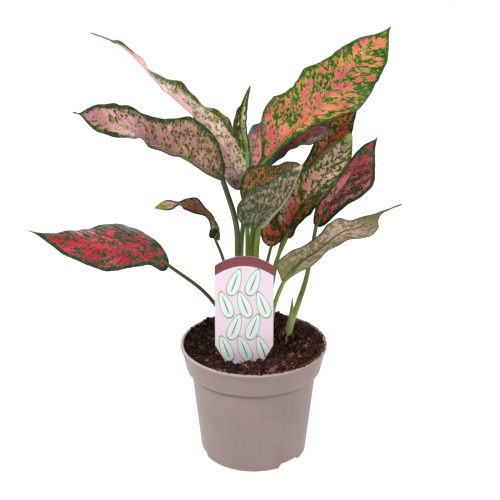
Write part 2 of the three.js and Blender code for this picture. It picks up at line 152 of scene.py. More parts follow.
# Closed sheet: the points are rows x columns of the upper side, then as many of the underside
def sheetQuads(rows, columns):
    size = rows * columns
    border = np.concatenate([
        np.arange(columns), np.arange(2, rows + 1) * columns - 1,
        size - 2 - np.arange(columns - 1), np.arange(rows - 2, 0, -1) * columns])
    after = np.roll(border, -1)
    edge = np.stack([border + size, after + size, after, border], axis=1)
    return np.concatenate([gridQuads(rows, columns), gridQuads(rows, columns, first=size, flip=True), edge])


# Closed bar: the points are rows of four
def barQuads(rows):
    end = np.arange(4)
    return np.concatenate([gridQuads(rows, 4, ring=True), [end[::-1], end + 4 * (rows - 1)]])


# Faces of a shape of each points, carried over to the copies with the given numbers
def repeated(faces, copies, each):
    return (faces[None] + (copies * each)[:, None, None]).reshape(-1, faces.shape[1])


# Closed slabs over outlines, an array of slabs x points x 2: place takes their two coordinates and
# a height to points in space
def slabs(outlines, centres, place, low, high):
    flat = np.concatenate([outlines, centres[:, None, :]], axis=1)
    points = np.stack([place(flat[..., 0], flat[..., 1], c) for c in (low, high)], axis=1).reshape(-1, 3)
    count, top = flat.shape[:2]
    ring = np.arange(top - 1)
    after = np.roll(ring, -1)
    side = np.stack([ring, after, after + top, ring + top], axis=1)
    caps = np.concatenate([fan(ring, top - 1, flip=True), fan(ring + top, 2 * top - 1)])
    return points, [repeated(part, np.arange(count), 2 * top) for part in (side, caps)]


def point(x, y, z):
    return np.stack(np.broadcast_arrays(x, y, z), axis=-1)


def polar(radius, angle, height):
    return point(radius * np.cos(angle), radius * np.sin(angle), height)


# Angles of evenly spaced places on a circle
def turns(count):
    return 2 * np.pi * np.arange(count) / count


# Two coordinates turned by an angle
def turned(a, b, angle):
    c, s = np.cos(angle), np.sin(angle)
    return a * c - b * s, a * s + b * c


def unit(a):
    return a / np.linalg.norm(a, axis=-1, keepdims=True)


# The part of a direction that is square to a line, made one long
def squareTo(line, direction):
    return unit(direction - (direction * line).sum(-1, keepdims=True) * line)


# 0 below low, 1 above high, 3s^2 - 2s^3 between
def smooth(x, low, high):
    s = np.clip((x - low) / (high - low), 0, 1)
    return s * s * (3 - 2 * s)


# Catmull-Rom through evenly spaced values, numbers or points, at t from 0 to 1
def along(values, t):
    v = np.asarray(values, float)
    last = len(v) - 1
    x = np.clip(np.asarray(t, float), 0, 1) * last
    i = np.minimum(x.astype(int), last - 1)
    f = x - i
    padded = np.concatenate([[2 * v[0] - v[1]], v, [2 * v[-1] - v[-2]]])
    a, b, c, d = padded[i], padded[i + 1], padded[i + 2], padded[i + 3]
    if v.ndim > 1:
        f = f[..., None]
    return 0.5 * (2 * b + (c - a) * f + (2 * a - 5 * b + 4 * c - d) * f**2 + (3 * b - a - 3 * c + d) * f**3)


# Value noise from -1 to 1: a seeded lattice of random heights, with smooth steps between them
def lattice(x, y, size, seed, cells=64):
    table = np.random.default_rng(seed).uniform(-1, 1, (cells, cells))
    u, w = np.broadcast_arrays(np.asarray(x, float) / size, np.asarray(y, float) / size)
    i, j = np.floor(u).astype(int), np.floor(w).astype(int)
    f, g = smooth(u - i, 0, 1), smooth(w - j, 0, 1)
    near, far = (table[i % cells, k % cells] * (1 - f) + table[(i + 1) % cells, k % cells] * f
                 for k in (j, j + 1))
    return near * (1 - g) + far * g


print("camera, light and floor")
cameraView = {"place": (0, -890, 538.5), "aim": (-3, 0, 178.5), "focalPixels": 1208, "framePixels": 500}
studio = {
    "world": ("ffffff", 0.3),
    "floor": ("bdbdbd", 0.82),  # colour, and a glow of its own, as of a light table
    "floorSide": 12000,
    "lights": [  # name, place, aim, width, watts
        ("keyLight", (-700, -650, 1150), (0, 0, 180), 550, 12),
        ("fillLight", (900, -700, 500), (0, 0, 180), 900, 3.0),
        ("backLight", (60, 900, 640), (0, -60, 100), 700, 4.5),
    ],
}


# Puts an object at place and turns it so that its -Z axis looks at aim
def lookAt(made, place, aim):
    forward = unit(np.subtract(aim, place, dtype=float))
    right = unit(np.cross(forward, (0, 0, 1)))
    axes = np.stack([right, np.cross(right, forward), -forward], axis=1)
    made.location = np.array(place) * mm
    made.rotation_euler = Matrix(axes.tolist()).to_euler()


def makeCamera():
    data = bpy.data.cameras.new("camera")
    data.sensor_width = 36
    data.lens = cameraView["focalPixels"] / cameraView["framePixels"] * data.sensor_width
    made = newObject("camera", data)
    lookAt(made, cameraView["place"], cameraView["aim"])
    bpy.context.scene.camera = made


def makeStudio():
    world = bpy.data.worlds.new("studioWorld")
    world.use_nodes = True
    sky = world.node_tree.nodes["Background"]
    sky.inputs["Color"].default_value = paint(studio["world"][0])
    sky.inputs["Strength"].default_value = studio["world"][1]
    bpy.context.scene.world = world
    for name, place, aim, width, watts in studio["lights"]:
        data = bpy.data.lights.new(name, "AREA")
        data.size = width * mm
        data.energy = watts
        lookAt(newObject(name, data), place, aim)
    material, add = newMaterial("paleStudioPaper")  # matt paper, seamless
    finishMaterial(add, {"Base Color": studio["floor"][0], "Roughness": 0.9,
                         "Emission Color": "ffffff", "Emission Strength": studio["floor"][1]})
    corners = np.array([(-1, -1, 0), (1, -1, 0), (1, 1, 0), (-1, 1, 0)]) * studio["floorSide"] / 2
    mesh = newMesh("floor", corners, [np.array([(0, 1, 2, 3)])])
    mesh.materials.append(material)
    newObject("floor", mesh)
    bpy.context.scene.view_settings.view_transform = "Standard"


makeCamera()
makeStudio()


print("pot")
pot = {
    "height": 97.5, "rimRadius": 60, "rimBand": 3.6, "collarHeight": 21, "collarFootRadius": 55.5,
    "bodyTopRadius": 51.5, "footRadius": 43.5, "wall": 1.8, "lip": 2.4,
    "floorHeight": 5, "floorThickness": 2, "footRing": 3, "bossRadius": 7,
    "notchCount": 3, "notchWidth": 22, "notchAzimuth": -46, "notchHeight": 4.6,
    "drainCount": 6, "drainRadius": 3.5, "drainCircle": 29, "drainSides": 32,
    "sides": 240, "steps": 3,
    # The lip's paler colour is a painted highlight
    "plastic": "8a7775", "plasticDark": "7d6a68", "plasticPale": "937f7c", "paintedLipHighlight": "c6b2a7",
    # The dark band under the collar and its depth are painted shade
    "paintedCollarShade": "4e403e", "paintedShadeDepth": 5.2,
}


# Injection-moulded polypropylene, matt from a spark-eroded tool: soft wide highlights, a faint grain
def potPlastic():
    material, add = newMaterial("mouldedTaupePolypropylene")
    place = add("TexCoord", out="Object")
    height = add("SeparateXYZ", [place], out=2)
    rim, corner = pot["height"] * mm, (pot["height"] - pot["collarHeight"]) * mm
    cloud = add("TexNoise", {"Vector": place, "Scale": 28.0, "Detail": 3.0, "Roughness": 0.6})
    drawn = add("Mapping", {"Vector": place, "Scale": (160.0, 160.0, 12.0)})
    flow = add("TexNoise", {"Vector": drawn, "Scale": 1.0, "Detail": 2.0})
    shadeRamp = add("MapRange", [height, corner - pot["paintedShadeDepth"] * mm, corner - 1.8 * mm, 0.0, 0.8])
    below = add("Math", [height, corner + 0.2 * mm], operation="LESS_THAN")
    colour = coats(
        add, pot["plastic"],
        (add("MapRange", [cloud, 0.35, 0.65]), pot["plasticPale"]),
        (add("MapRange", [flow, 0.5, 0.8, 0.0, 0.25]), pot["plasticDark"]),
        # Painted highlight: the lip's top is painted paler, standing in for the line of light along it
        (add("MapRange", [height, rim - 1.6 * mm, rim - 0.3 * mm]), pot["paintedLipHighlight"]),
        # Painted shade: the band just under the collar is darkened, standing in for the collar's shadow
        (add("Math", [shadeRamp, below], **times), pot["paintedCollarShade"]))
    grain = add("TexNoise", {"Vector": place, "Scale": 1400.0, "Detail": 2.0})  # 0.7 mm
    rough = add("MapRange", [cloud, 0.0, 1.0, 0.36, 0.5])
    finishMaterial(add, {"Base Color": colour, "Roughness": rough, "IOR": 1.49}, grain, 0.06)
    return material


# A profile of radius and height turned round Z. Each of its edges is split into steps, and the foot
# ring's height is lifted over the notches: z rises to notchHeight there.
def makePot():
    p = pot
    top, rim, wall, boss = p["height"], p["rimRadius"], p["wall"], p["bossRadius"]
    low = p["floorHeight"]
    floorTop = low + p["floorThickness"]
    collar, shoulder, taper = top - p["collarHeight"], p["collarFootRadius"], top - p["rimBand"]
    foot = p["footRadius"] - 0.9
    inner = foot - p["footRing"]
    lip = rim - p["lip"]
    middle = 20

    def body(z):
        return p["footRadius"] + (p["bodyTopRadius"] - p["footRadius"]) * z / collar

    profile = np.array([
        (0, 0), (boss - 0.5, 0), (boss, 0.5), (boss, low), (middle, low), (inner, low), (inner, 0.4),
        (inner + 0.5, 0), (foot - 0.5, 0), (foot, 0.3),
        *[(body(z), z) for z in (1.5, 4.8, 12, 30, 50, 70, collar - 1.6)],
        (body(collar) + 0.5, collar - 0.5), (shoulder - 1.0, collar), (shoulder - 0.3, collar + 0.25),
        (shoulder, collar + 1.1), (shoulder + 1.2, collar + 7), (rim - 1.5, taper - 0.6),
        (rim - 0.4, taper + 0.3), (rim, taper + 1.1), (rim, top - 0.9), (rim - 0.3, top - 0.25),
        (rim - 0.9, top), (lip + 0.7, top), (lip + 0.15, top - 0.3), (lip, top - 1),
        (shoulder - wall, collar + wall), (p["bodyTopRadius"] - wall, collar), (body(40) - wall, 40),
        (body(floorTop + 3) - wall, floorTop + 3), (body(floorTop) - wall - 3, floorTop),
        (middle, floorTop), (0, floorTop),
    ])
    part = np.arange(p["steps"])[None, :, None] / p["steps"]
    fine = (profile[:-1, None] + (profile[1:] - profile[:-1])[:, None] * part).reshape(-1, 2)[1:]
    angle = turns(p["sides"])
    radius, height = fine[:, :1], fine[:, 1:]
    between = 2 * np.pi / p["notchCount"]
    notchHalf = p["notchWidth"] / 2 / p["footRadius"]
    turn = (angle - math.radians(p["notchAzimuth"])) % between
    away = np.minimum(turn, between - turn)
    lifted = p["notchHeight"] * (1 - smooth(away, notchHalf - 0.02, notchHalf + 0.02))
    atFoot = (radius > inner - 1) & (height < p["notchHeight"])
    height = np.where(atFoot, np.maximum(height, lifted - 0.02 * (p["notchHeight"] - height)), height)
    ring = polar(radius, angle, height).reshape(-1, 3)
    points = np.concatenate([ring, [(0, 0, 0), (0, 0, floorTop)]])
    made = buildMesh("nurseryPot", points, [skinFaces(len(fine), p["sides"])], [potPlastic()])
    cutDrains(made, low - 2, floorTop + 2)
    made.data.set_sharp_from_angle(angle=math.radians(40))
    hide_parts("pot")


# Drain holes in a ring, cut by one Boolean with all the pins
def cutDrains(made, low, high):
    centres = polar(pot["drainCircle"], turns(pot["drainCount"]) + np.pi / pot["drainCount"], 0.0)[:, :2]
    outlines = centres[:, None, :] + polar(pot["drainRadius"], turns(pot["drainSides"]), 0.0)[:, :2]
    points, faces = slabs(outlines, centres, point, low, high)
    pins = newObject("drainPins", newMesh("drainPins", points, faces))
    cut = made.modifiers.new("drains", "BOOLEAN")
    cut.operation, cut.solver, cut.object = "DIFFERENCE", "EXACT", pins
    graph = bpy.context.evaluated_depsgraph_get()
    drilled = bpy.data.meshes.new_from_object(made.evaluated_get(graph))
    made.modifiers.clear()
    made.data = drilled
    bpy.data.objects.remove(pins)


makePot()


print("peat")
peat = {
    "edgeHeight": 95, "backRise": 4.2, "backReach": (-25, 45), "clump": 0.9, "topRadius": 56.6,
    "edgeDrop": 1.5, "edgeReach": (49, 56), "noise": [(6.5, 1.9), (3.0, 1.3), (1.4, 0.9)],  # size, height
    "wall": [(38, 7.5), (43, 11), (49, 76), (53, 79), (56.6, 93.5)],  # radius, height
    "heaps": [(4, -38, 4.5, 6), (-10, -40, 12, -2.2), (-21, -38, 7, -3), (-36, 34, 14, 1.5),
              (24, 32, 12, 1.5)],  # place, reach, height
    "rings": 110, "sides": 300, "seed": 11,
    "crumbs": 2700, "crumbSizes": (0.4, 1.7), "crumbReach": 55.3, "crumbStop": 56,
    "clods": 170, "clodSizes": (1.4, 3.2), "clodReach": 52,
    "chips": 60, "chipSizes": (0.5, 1.3), "chipReach": 54,
    "spilled": 420, "spilledSizes": (0.25, 0.8), "spilledRing": (55.9, 59.3), "spilledAzimuth": -40,
    "spilledSpread": 0.6, "fibres": 360, "fibreLengths": (2.5, 8), "fibreRadii": (0.1, 0.22),
    "fibreReach": 52, "fibreStop": 55.5,
    "dark": "100807", "mid": "46291f", "warm": "9c6450", "pale": "a98a66", "rust": "7a4a35",
    "roots": [  # place, heading, length, radius
        (29.0, 13.5, -100.0, 15.0, 0.55), (27.5, 14.0, -118.0, 7.0, 0.4), (31.0, 13.0, -80.0, 6.0, 0.35)],
    "rootColours": ("c0a070", "e6d2ac", "d8bc90"),
}


# Height of the peat: a rise to the back, sine clumps, round heaps h exp(-(distance / reach)^2), a
# drop at the edge, and lattice noise in three sizes
def peatHeight(x, y):
    p = peat
    rise = p["backRise"] * smooth(y, *p["backReach"])
    clumps = np.sin(x * 0.55 + 1) * np.cos(y * 0.48) + 0.6 * np.sin(x * 0.31 - y * 0.63 + 2)
    heaps = sum(h * np.exp(-((x - cx) ** 2 + (y - cy) ** 2) / reach**2) for cx, cy, reach, h in p["heaps"])
    drop = p["edgeDrop"] * smooth(np.hypot(x, y), *p["edgeReach"])
    broad, middle, fine = (h * lattice(x, y, size, p["seed"] + k) for k, (size, h) in enumerate(p["noise"]))
    return p["edgeHeight"] + rise + heaps + p["clump"] * clumps - drop + broad + middle + np.abs(fine)


def onPeat(x, y, lift=0.0):
    return point(x, y, peatHeight(x, y) + lift)


# Blond and black peat with bark dust: matt, near black where damp, rusty where dry
def peatMaterial(name, dark, mid, warm):
    material, add = newMaterial(name)
    place = add("TexCoord", out="Object")
    broad = add("TexNoise", {"Vector": place, "Scale": 60.0, "Detail": 4.0, "Roughness": 0.65})
    fine = add("TexNoise", {"Vector": place, "Scale": 700.0, "Detail": 3.0, "Roughness": 0.7})
    dust = add("MapRange", [fine, 0.38, 0.68])
    blond = add("MapRange", [broad, 0.46, 0.7, 0.1, 0.8])
    # Drier, and so redder, at the front right
    side = add("VectorMath", [place, (11.0, -11.0, 0.0)], out=1, operation="DOT_PRODUCT")
    dry = add("MapRange", [side, -0.35, 0.4, 0.25, 3.0])
    brown = add("Math", [dust, add("MapRange", [dry, 0.0, 1.0, 0.4, 1.0])], **times)
    rusty = add("Math", [add("Math", [blond, dry], **times), dust], **times)
    colour = coats(add, dark, (brown, mid), (rusty, warm))
    value = add("MapRange", [add("Attribute", out=2, attribute_name="tone"), 0.0, 1.0, 0.4, 2.3])
    toned = add("HueSaturation", {"Value": value, "Color": colour})
    finishMaterial(add, {"Base Color": toned, "Roughness": 0.92, "Specular IOR Level": 0.25}, fine, 0.9)
    return material


# The plug: its sides follow the pot's wall, and its top is a polar grid over peatHeight
def makePeat():
    p = peat
    angle = turns(p["sides"])
    sideRings = [polar(radius, angle, height) for radius, height in p["wall"]]
    radius = (p["topRadius"] * (1 - np.arange(p["rings"]) / p["rings"]))[:, None]
    top = onPeat(radius * np.cos(angle), radius * np.sin(angle)).reshape(-1, 3)
    points = np.concatenate([*sideRings, top, [(0, 0, p["wall"][0][1]), onPeat(0.0, 0.0)]])
    made = buildMesh("peatPlug", points, [skinFaces(len(sideRings) + p["rings"], p["sides"])],
                     [peatMaterial("dampPeat", p["dark"], p["mid"], p["warm"])])
    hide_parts("soil")


# Unit sphere of few faces: rows of latitude and longitude, with a point at each pole
def lumpShape(rows=5, sides=7):
    lat = np.pi * (np.arange(1, rows) / rows - 0.5)[:, None]
    ring = polar(np.cos(lat), turns(sides), np.sin(lat)).reshape(-1, 3)
    return np.concatenate([ring, [(0, 0, -1), (0, 0, 1)]]), skinFaces(rows - 1, sides)


# Copies of one lump: each is stretched, made uneven by its own random radii, turned and placed
def scatterLumps(name, centres, sizes, materials, seed, flatness=0.7, uneven=0.35):
    draw = np.random.default_rng(seed)
    shape, faces = lumpShape()
    count, each, kinds = len(centres), len(shape), len(materials)
    radii = 1 + draw.uniform(-uneven, uneven, (count, each, 1))
    stretch = sizes[:, None, None] * draw.uniform(0.6, 1.3, (count, 1, 3)) * (1, 1, flatness)
    spin = draw.uniform(0, 2 * np.pi, (count, 1))
    tilt = draw.normal(0, 0.5, (count, 1))
    x, y, z = np.moveaxis(shape * radii * stretch, -1, 0)
    y, z = turned(y, z, tilt)
    x, y = turned(x, y, spin)
    points = (point(x, y, z) + centres[:, None, :]).reshape(-1, 3)
    tone = np.repeat(draw.uniform(0, 1, count) ** 2.5, each)[:, None] + np.zeros(3)
    groups = [[repeated(part, np.arange(kind, count, kinds), each) for part in faces]
              for kind in range(kinds)]
    buildMesh(name, points, groups, materials, {"tone": tone}, rounded=False)


# Short strands lying on the peat: a bowed centre line with a small square section, cos and sin of
# the angle round it times a radius that falls to 0.4 of itself
def scatterFibres(name, starts, headings, lengths, thickness, material, seed, lift=0.3, tone=0.35):
    draw = np.random.default_rng(seed)
    steps, count = 7, len(starts)
    s = np.linspace(0, 1, steps)
    heading = headings[:, None] + draw.normal(0, 0.5, (count, 1)) * (s - 0.5)
    step = lengths[:, None] / (steps - 1)
    x = starts[:, :1] + np.cumsum(np.cos(heading) * step, axis=1)
    y = starts[:, 1:] + np.cumsum(np.sin(heading) * step, axis=1)
    inside = np.minimum(1, peat["fibreStop"] / np.maximum(np.hypot(x, y), 1e-6))
    centre = onPeat(x * inside, y * inside, lift + draw.uniform(0, 1.2, (count, 1)) * np.sin(np.pi * s))
    around = turns(4)
    radius = (thickness[:, None] * (1 - 0.6 * s))[..., None]
    turn = heading[..., None]
    off = point(-np.sin(turn) * np.cos(around), np.cos(turn) * np.cos(around), np.sin(around))
    points = (centre[..., None, :] + off * radius[..., None]).reshape(-1, 3)
    quads = repeated(barQuads(steps), np.arange(count), 4 * steps)
    made = buildMesh(name, points, [[quads]], [material], {"tone": np.full((len(points), 3), tone)})


def makeCrumbs():
    p = peat
    seed = p["seed"]
    draw = np.random.default_rng(seed + 5)

    # Places spread evenly over a disc
    def strewn(count, reach):
        radius = reach * np.sqrt(draw.uniform(0, 1, count))
        angle = draw.uniform(0, 2 * np.pi, count)
        return radius * np.cos(angle), radius * np.sin(angle)

    materials = [peatMaterial("blackPeatCrumb", p["dark"], p["mid"], p["mid"]),
                 peatMaterial("brownPeatCrumb", p["dark"], p["warm"], p["warm"]),
                 peatMaterial("darkPeatCrumb", p["dark"], p["mid"], p["warm"])]
    low, high = p["crumbSizes"]
    x, y = strewn(p["crumbs"], p["crumbReach"])
    sizes = low * (high / low) ** (draw.uniform(0, 1, p["crumbs"]) ** 2.2)
    sizes = np.minimum(sizes, np.maximum(low, p["crumbStop"] - np.hypot(x, y)))
    scatterLumps("peatCrumbs", onPeat(x, y, 0.25 * sizes), sizes, materials, seed + 6)
    x, y = strewn(p["clods"], p["clodReach"])
    sizes = draw.uniform(*p["clodSizes"], p["clods"])
    scatterLumps("peatClods", onPeat(x, y), sizes, materials, seed + 12, flatness=0.8, uneven=0.5)
    # A few crumbs lie on the lip, most of them at the front right
    angle = draw.normal(math.radians(p["spilledAzimuth"]), p["spilledSpread"], p["spilled"])
    radius = draw.uniform(*p["spilledRing"], p["spilled"])
    sizes = draw.uniform(*p["spilledSizes"], p["spilled"])
    centres = polar(radius, angle, pot["height"] + 0.45 * sizes)
    scatterLumps("spilledCrumbs", centres, sizes, materials[1:], seed + 7)
    # Bark and wood chips, pale and flat
    x, y = strewn(p["chips"], p["chipReach"])
    sizes = draw.uniform(*p["chipSizes"], p["chips"])
    chip = peatMaterial("paleBarkChip", p["warm"], p["pale"], p["pale"])
    scatterLumps("barkChips", onPeat(x, y, 0.5), sizes, [chip], seed + 8, flatness=0.35)
    count = p["fibres"]
    starts = np.stack(strewn(count, p["fibreReach"]), axis=-1)
    headings, lengths, thickness = (
        draw.uniform(*ends, count) for ends in ((0, 2 * np.pi), p["fibreLengths"], p["fibreRadii"]))
    rusty = peatMaterial("rustyFibre", p["mid"], p["warm"], p["rust"])
    scatterFibres("peatFibres", starts, headings, lengths, thickness, rusty, seed + 9)
    # Pale feeding roots at the foot of the shoot on the right
    roots = np.array(p["roots"])
    scatterFibres("paleRoots", roots[:, :2], np.radians(roots[:, 2]), roots[:, 3], roots[:, 4],
                  peatMaterial("drySkinRoot", *p["rootColours"]), seed + 10, lift=1.8)


makePeat()
makeCrumbs()


print("plant label")
label = {
    "halfWidth": 23, "thickness": 0.7, "shoulder": 123.5, "arch": 8, "taperTop": 57, "taperFoot": 41,
    "taperInset": 9, "pointHalfWidth": 3, "lean": 4, "centreX": -7.5, "footY": -33, "footZ": 52,
    "band": 8.2, "bandHeight": 0.03, "bandInset": (0.02, 0.05), "inkFoot": 0.1, "printInset": 0.4,
    "ground": "e7d3e0", "bandInk": "7d3238", "mint": "d3ece0", "outline": "8f8a84", "rose": "b65a68",
    "motifRows": 4, "motifColumns": 3, "motifLength": 27.0, "motifWidth": 13.0, "motifSteps": (14.6, 18.6),
    "motifFoot": 54, "motifLean": 0.35,
}


# A point of the card: a across, b up from the stake's point, c out of its printed face
def cardPoint(a, b, c):
    back, up = turned(b, c, math.radians(90 - label["lean"]))
    return point(label["centreX"] + a, label["footY"] + back, label["footZ"] + up)


# Height of the arch: shoulder + arch (1 - (a / halfWidth)^2)
def archAt(a):
    return label["shoulder"] + label["arch"] * (1 - (a / label["halfWidth"]) ** 2)


# Printed plastic card: the inks share one satin varnish
def inkMaterial(name, hexCode, variation=0.03):
    material, add = newMaterial(name)
    place = add("TexCoord", out="Object")
    cloud = add("TexNoise", {"Vector": place, "Scale": 45.0, "Detail": 2.0})
    fine = add("TexNoise", {"Vector": place, "Scale": 900.0, "Detail": 1.0})
    shade = coats(add, hexCode, (add("MapRange", [cloud, 0.3, 0.7, 0.0, variation]), "ffffff"))
    finishMaterial(add, {"Base Color": shade, "Roughness": 0.42, "IOR": 1.5, "Specular IOR Level": 0.35},
                   fine, 0.02)
    return material


# The card, row by row: its half width follows the stake's point, the taper, the straight sides and
# the arch, where it is halfWidth sqrt(1 - height above the shoulder / arch)
def makeCard():
    p = label
    half, front = p["halfWidth"], p["thickness"] / 2
    rise = p["shoulder"] + p["arch"] * np.sin(np.linspace(0, np.pi / 2, 30)) ** 2
    b = np.concatenate([[0, 1], np.linspace(2, p["taperFoot"], 12),
                        np.linspace(p["taperFoot"] + 1, p["taperTop"], 12),
                        np.linspace(p["taperTop"] + 2, p["shoulder"], 30), rise[1:]])
    widths = np.interp(b, [0, 1, p["taperFoot"], p["taperTop"]],
                       [0.3, p["pointHalfWidth"], half - p["taperInset"], half])
    inArch = half * np.sqrt(np.clip(1 - (b - p["shoulder"]) / p["arch"], 0.0002, 1))
    a = np.where(b > p["shoulder"], inArch, widths)[:, None] * np.linspace(-1, 1, 21)
    points = np.concatenate([cardPoint(a, b[:, None], c).reshape(-1, 3) for c in (front, -front)])
    made = buildMesh("labelCard", points, [[sheetQuads(*a.shape)]],
                     [inkMaterial("satinLilacCard", p["ground"], 0.06)], sharpAngle=30)
    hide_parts("label")


# The band under the arch: one bar between two parallel arches
def makeBand():
    p = label
    front = p["thickness"] / 2
    sideInset, topInset = p["bandInset"]
    across = np.linspace(-1, 1, 41) * (p["halfWidth"] - sideInset)
    outer, inner = archAt(across) - topInset, archAt(across) - p["band"]
    low, high = front - p["inkFoot"], front + p["bandHeight"]
    corners = [(outer, high), (inner, high), (inner, low), (outer, low)]
    points = np.stack([cardPoint(across, line, c) for line, c in corners], axis=1).reshape(-1, 3)
    band = buildMesh("labelBand", points, [[barQuads(len(across))]],
                     [inkMaterial("maroonInk", p["bandInk"])], sharpAngle=30)


# A plain filler pattern: staggered rows of drops, each with an outline and a centre stroke
def makePattern():
    p = label
    front = p["thickness"] / 2
    row, column = np.indices((p["motifRows"], p["motifColumns"])).reshape(2, -1)
    keep = (row % 2 == 0) | (column < p["motifColumns"] - 1)
    row, column = row[keep], column[keep]
    stepA, stepB = p["motifSteps"]
    centres = np.stack([(column - 1 + 0.5 * (row % 2)) * stepA, p["motifFoot"] + row * stepB], axis=-1)
    lean = (p["motifLean"] * (1 - 2 * (row % 2)))[:, None]
    angle = turns(40)
    drop = np.stack([np.sin(angle) * (0.5 + 0.5 * np.cos(angle / 2) ** 2) * p["motifWidth"] / 2,
                     -np.cos(angle) * p["motifLength"] * 0.45], axis=-1)
    edge = [p["taperFoot"], p["taperTop"]], [p["halfWidth"] - p["taperInset"], p["halfWidth"]]
    for name, grow, high, ink in [
        ("labelOutlines", 1.0, 0.03, inkMaterial("greyInk", p["outline"])),
        ("labelDrops", 0.91, 0.045, inkMaterial("mintInk", p["mint"], 0.1)),
        ("labelStrokes", (0.1, 0.7), 0.06, inkMaterial("roseInk", p["rose"])),
    ]:
        x, y = turned(*(drop * grow).T, lean)
        x, y = x + centres[:, :1], y + centres[:, 1:]
        limit = np.interp(y, *edge) - p["printInset"]  # the print ends at the card's edge
        outlines = np.stack([np.clip(x, -limit, limit), y], axis=-1)
        points, faces = slabs(outlines, centres, cardPoint, front - p["inkFoot"], front + high)
        buildMesh(name, points, [faces], [ink], sharpAngle=30)


makeCard()
makeBand()
makePattern()


print("leaves")
# Shape. stalk: its line from the peat to the blade. thick: the stalk's radius at both ends. spine:
# the midrib from the blade's base to its tip. face: where the upper side looks. left, right: half
# widths at stations that crowd towards both ends. riseLeft, riseRight: degrees each half is folded
# up. curl: degrees more at the margin. wave: the margins' height and count of waves. bract: foot
# and tip of the small sheath beside the shoot.
# Colours. ground with groundLight in it, fleck on both; blotch with blotchPale in it and a rim
# round it, baseBlotch in the lower half, rightBlotch on the right; speck with a halo on all of
# them; vein, margin, edge, midrib, tip and foot over these; under... on the underside.
# Blotches. cover: how much of the blade they take at the midrib and at the margin. rightCover and
# lengthCover (base, tip) shift that. grain: millimetres along and across the midrib. slant and
# rightStretch turn and widen them. crisp: how soft their edge is. ragged: how broken it is.
# flecks, spots: millimetres and share. specks: millimetres, share at the base, at the tip and more
# at the margin. clump: how uneven that is. Widths are millimetres, and a pair is left and right.
# The tip's and the foot's places run from 0 at the base to 1 at the tip. Where a colour is None it
# is left out, and underPale, underCover and underMargin are then underBlotch, cover, underGround.
commonLook = {
    "ground": "35562a", "groundLight": "5d7a30", "fleck": "8f9a48", "flecks": (2.0, 0.3),
    "blotch": "c9525c", "blotchPale": "e07a78", "baseBlotch": None, "rightBlotch": None,
    "cover": (0.5, 0.2), "rightCover": 0.0, "lengthCover": (0.0, 0.0), "grain": (4.5, 5.5), "slant": 0.5,
    "rightStretch": 1.0, "crisp": 0.02, "ragged": 0.45, "spots": (),
    "rim": "a8a83a", "rimWidth": 0.02, "rimAmount": 0.6,
    "speck": "3f5a20", "specks": (2.6, 0.25, 0.2, 0.1), "clump": 1.5, "halo": "7a7a3c", "haloAmount": 0.5,
    "vein": "7f8a3c", "veinAmount": 0.12, "veinSpacing": 7.5,
    "margin": "2f5a26", "marginWidth": (2.5, 2.5), "edge": "25381c", "edgeWidth": 0.7, "leftEdge": 1.0,
    "midrib": "8f8a4a", "midribWidth": 1.2, "midribAmount": 0.6,
    "tip": "6f8a3a", "tipFrom": 0.96, "tipReach": 0.03, "tipAmount": 1.0,
    "foot": "2c3a1c", "footUntil": 0.06, "footAmount": 0.5,
    "underGround": "5f7350", "underBlotch": "a98e7e", "underPale": None, "underCover": None,
    "underRib": "8f8a58", "underMargin": None, "underMarginWidth": 2.0, "underFoot": None,
    "roughness": 0.4, "stalkColour": "546618", "stalkPale": "8c9548", "stalkFoot": "a3a366",
    "footReach": 0.42,
}
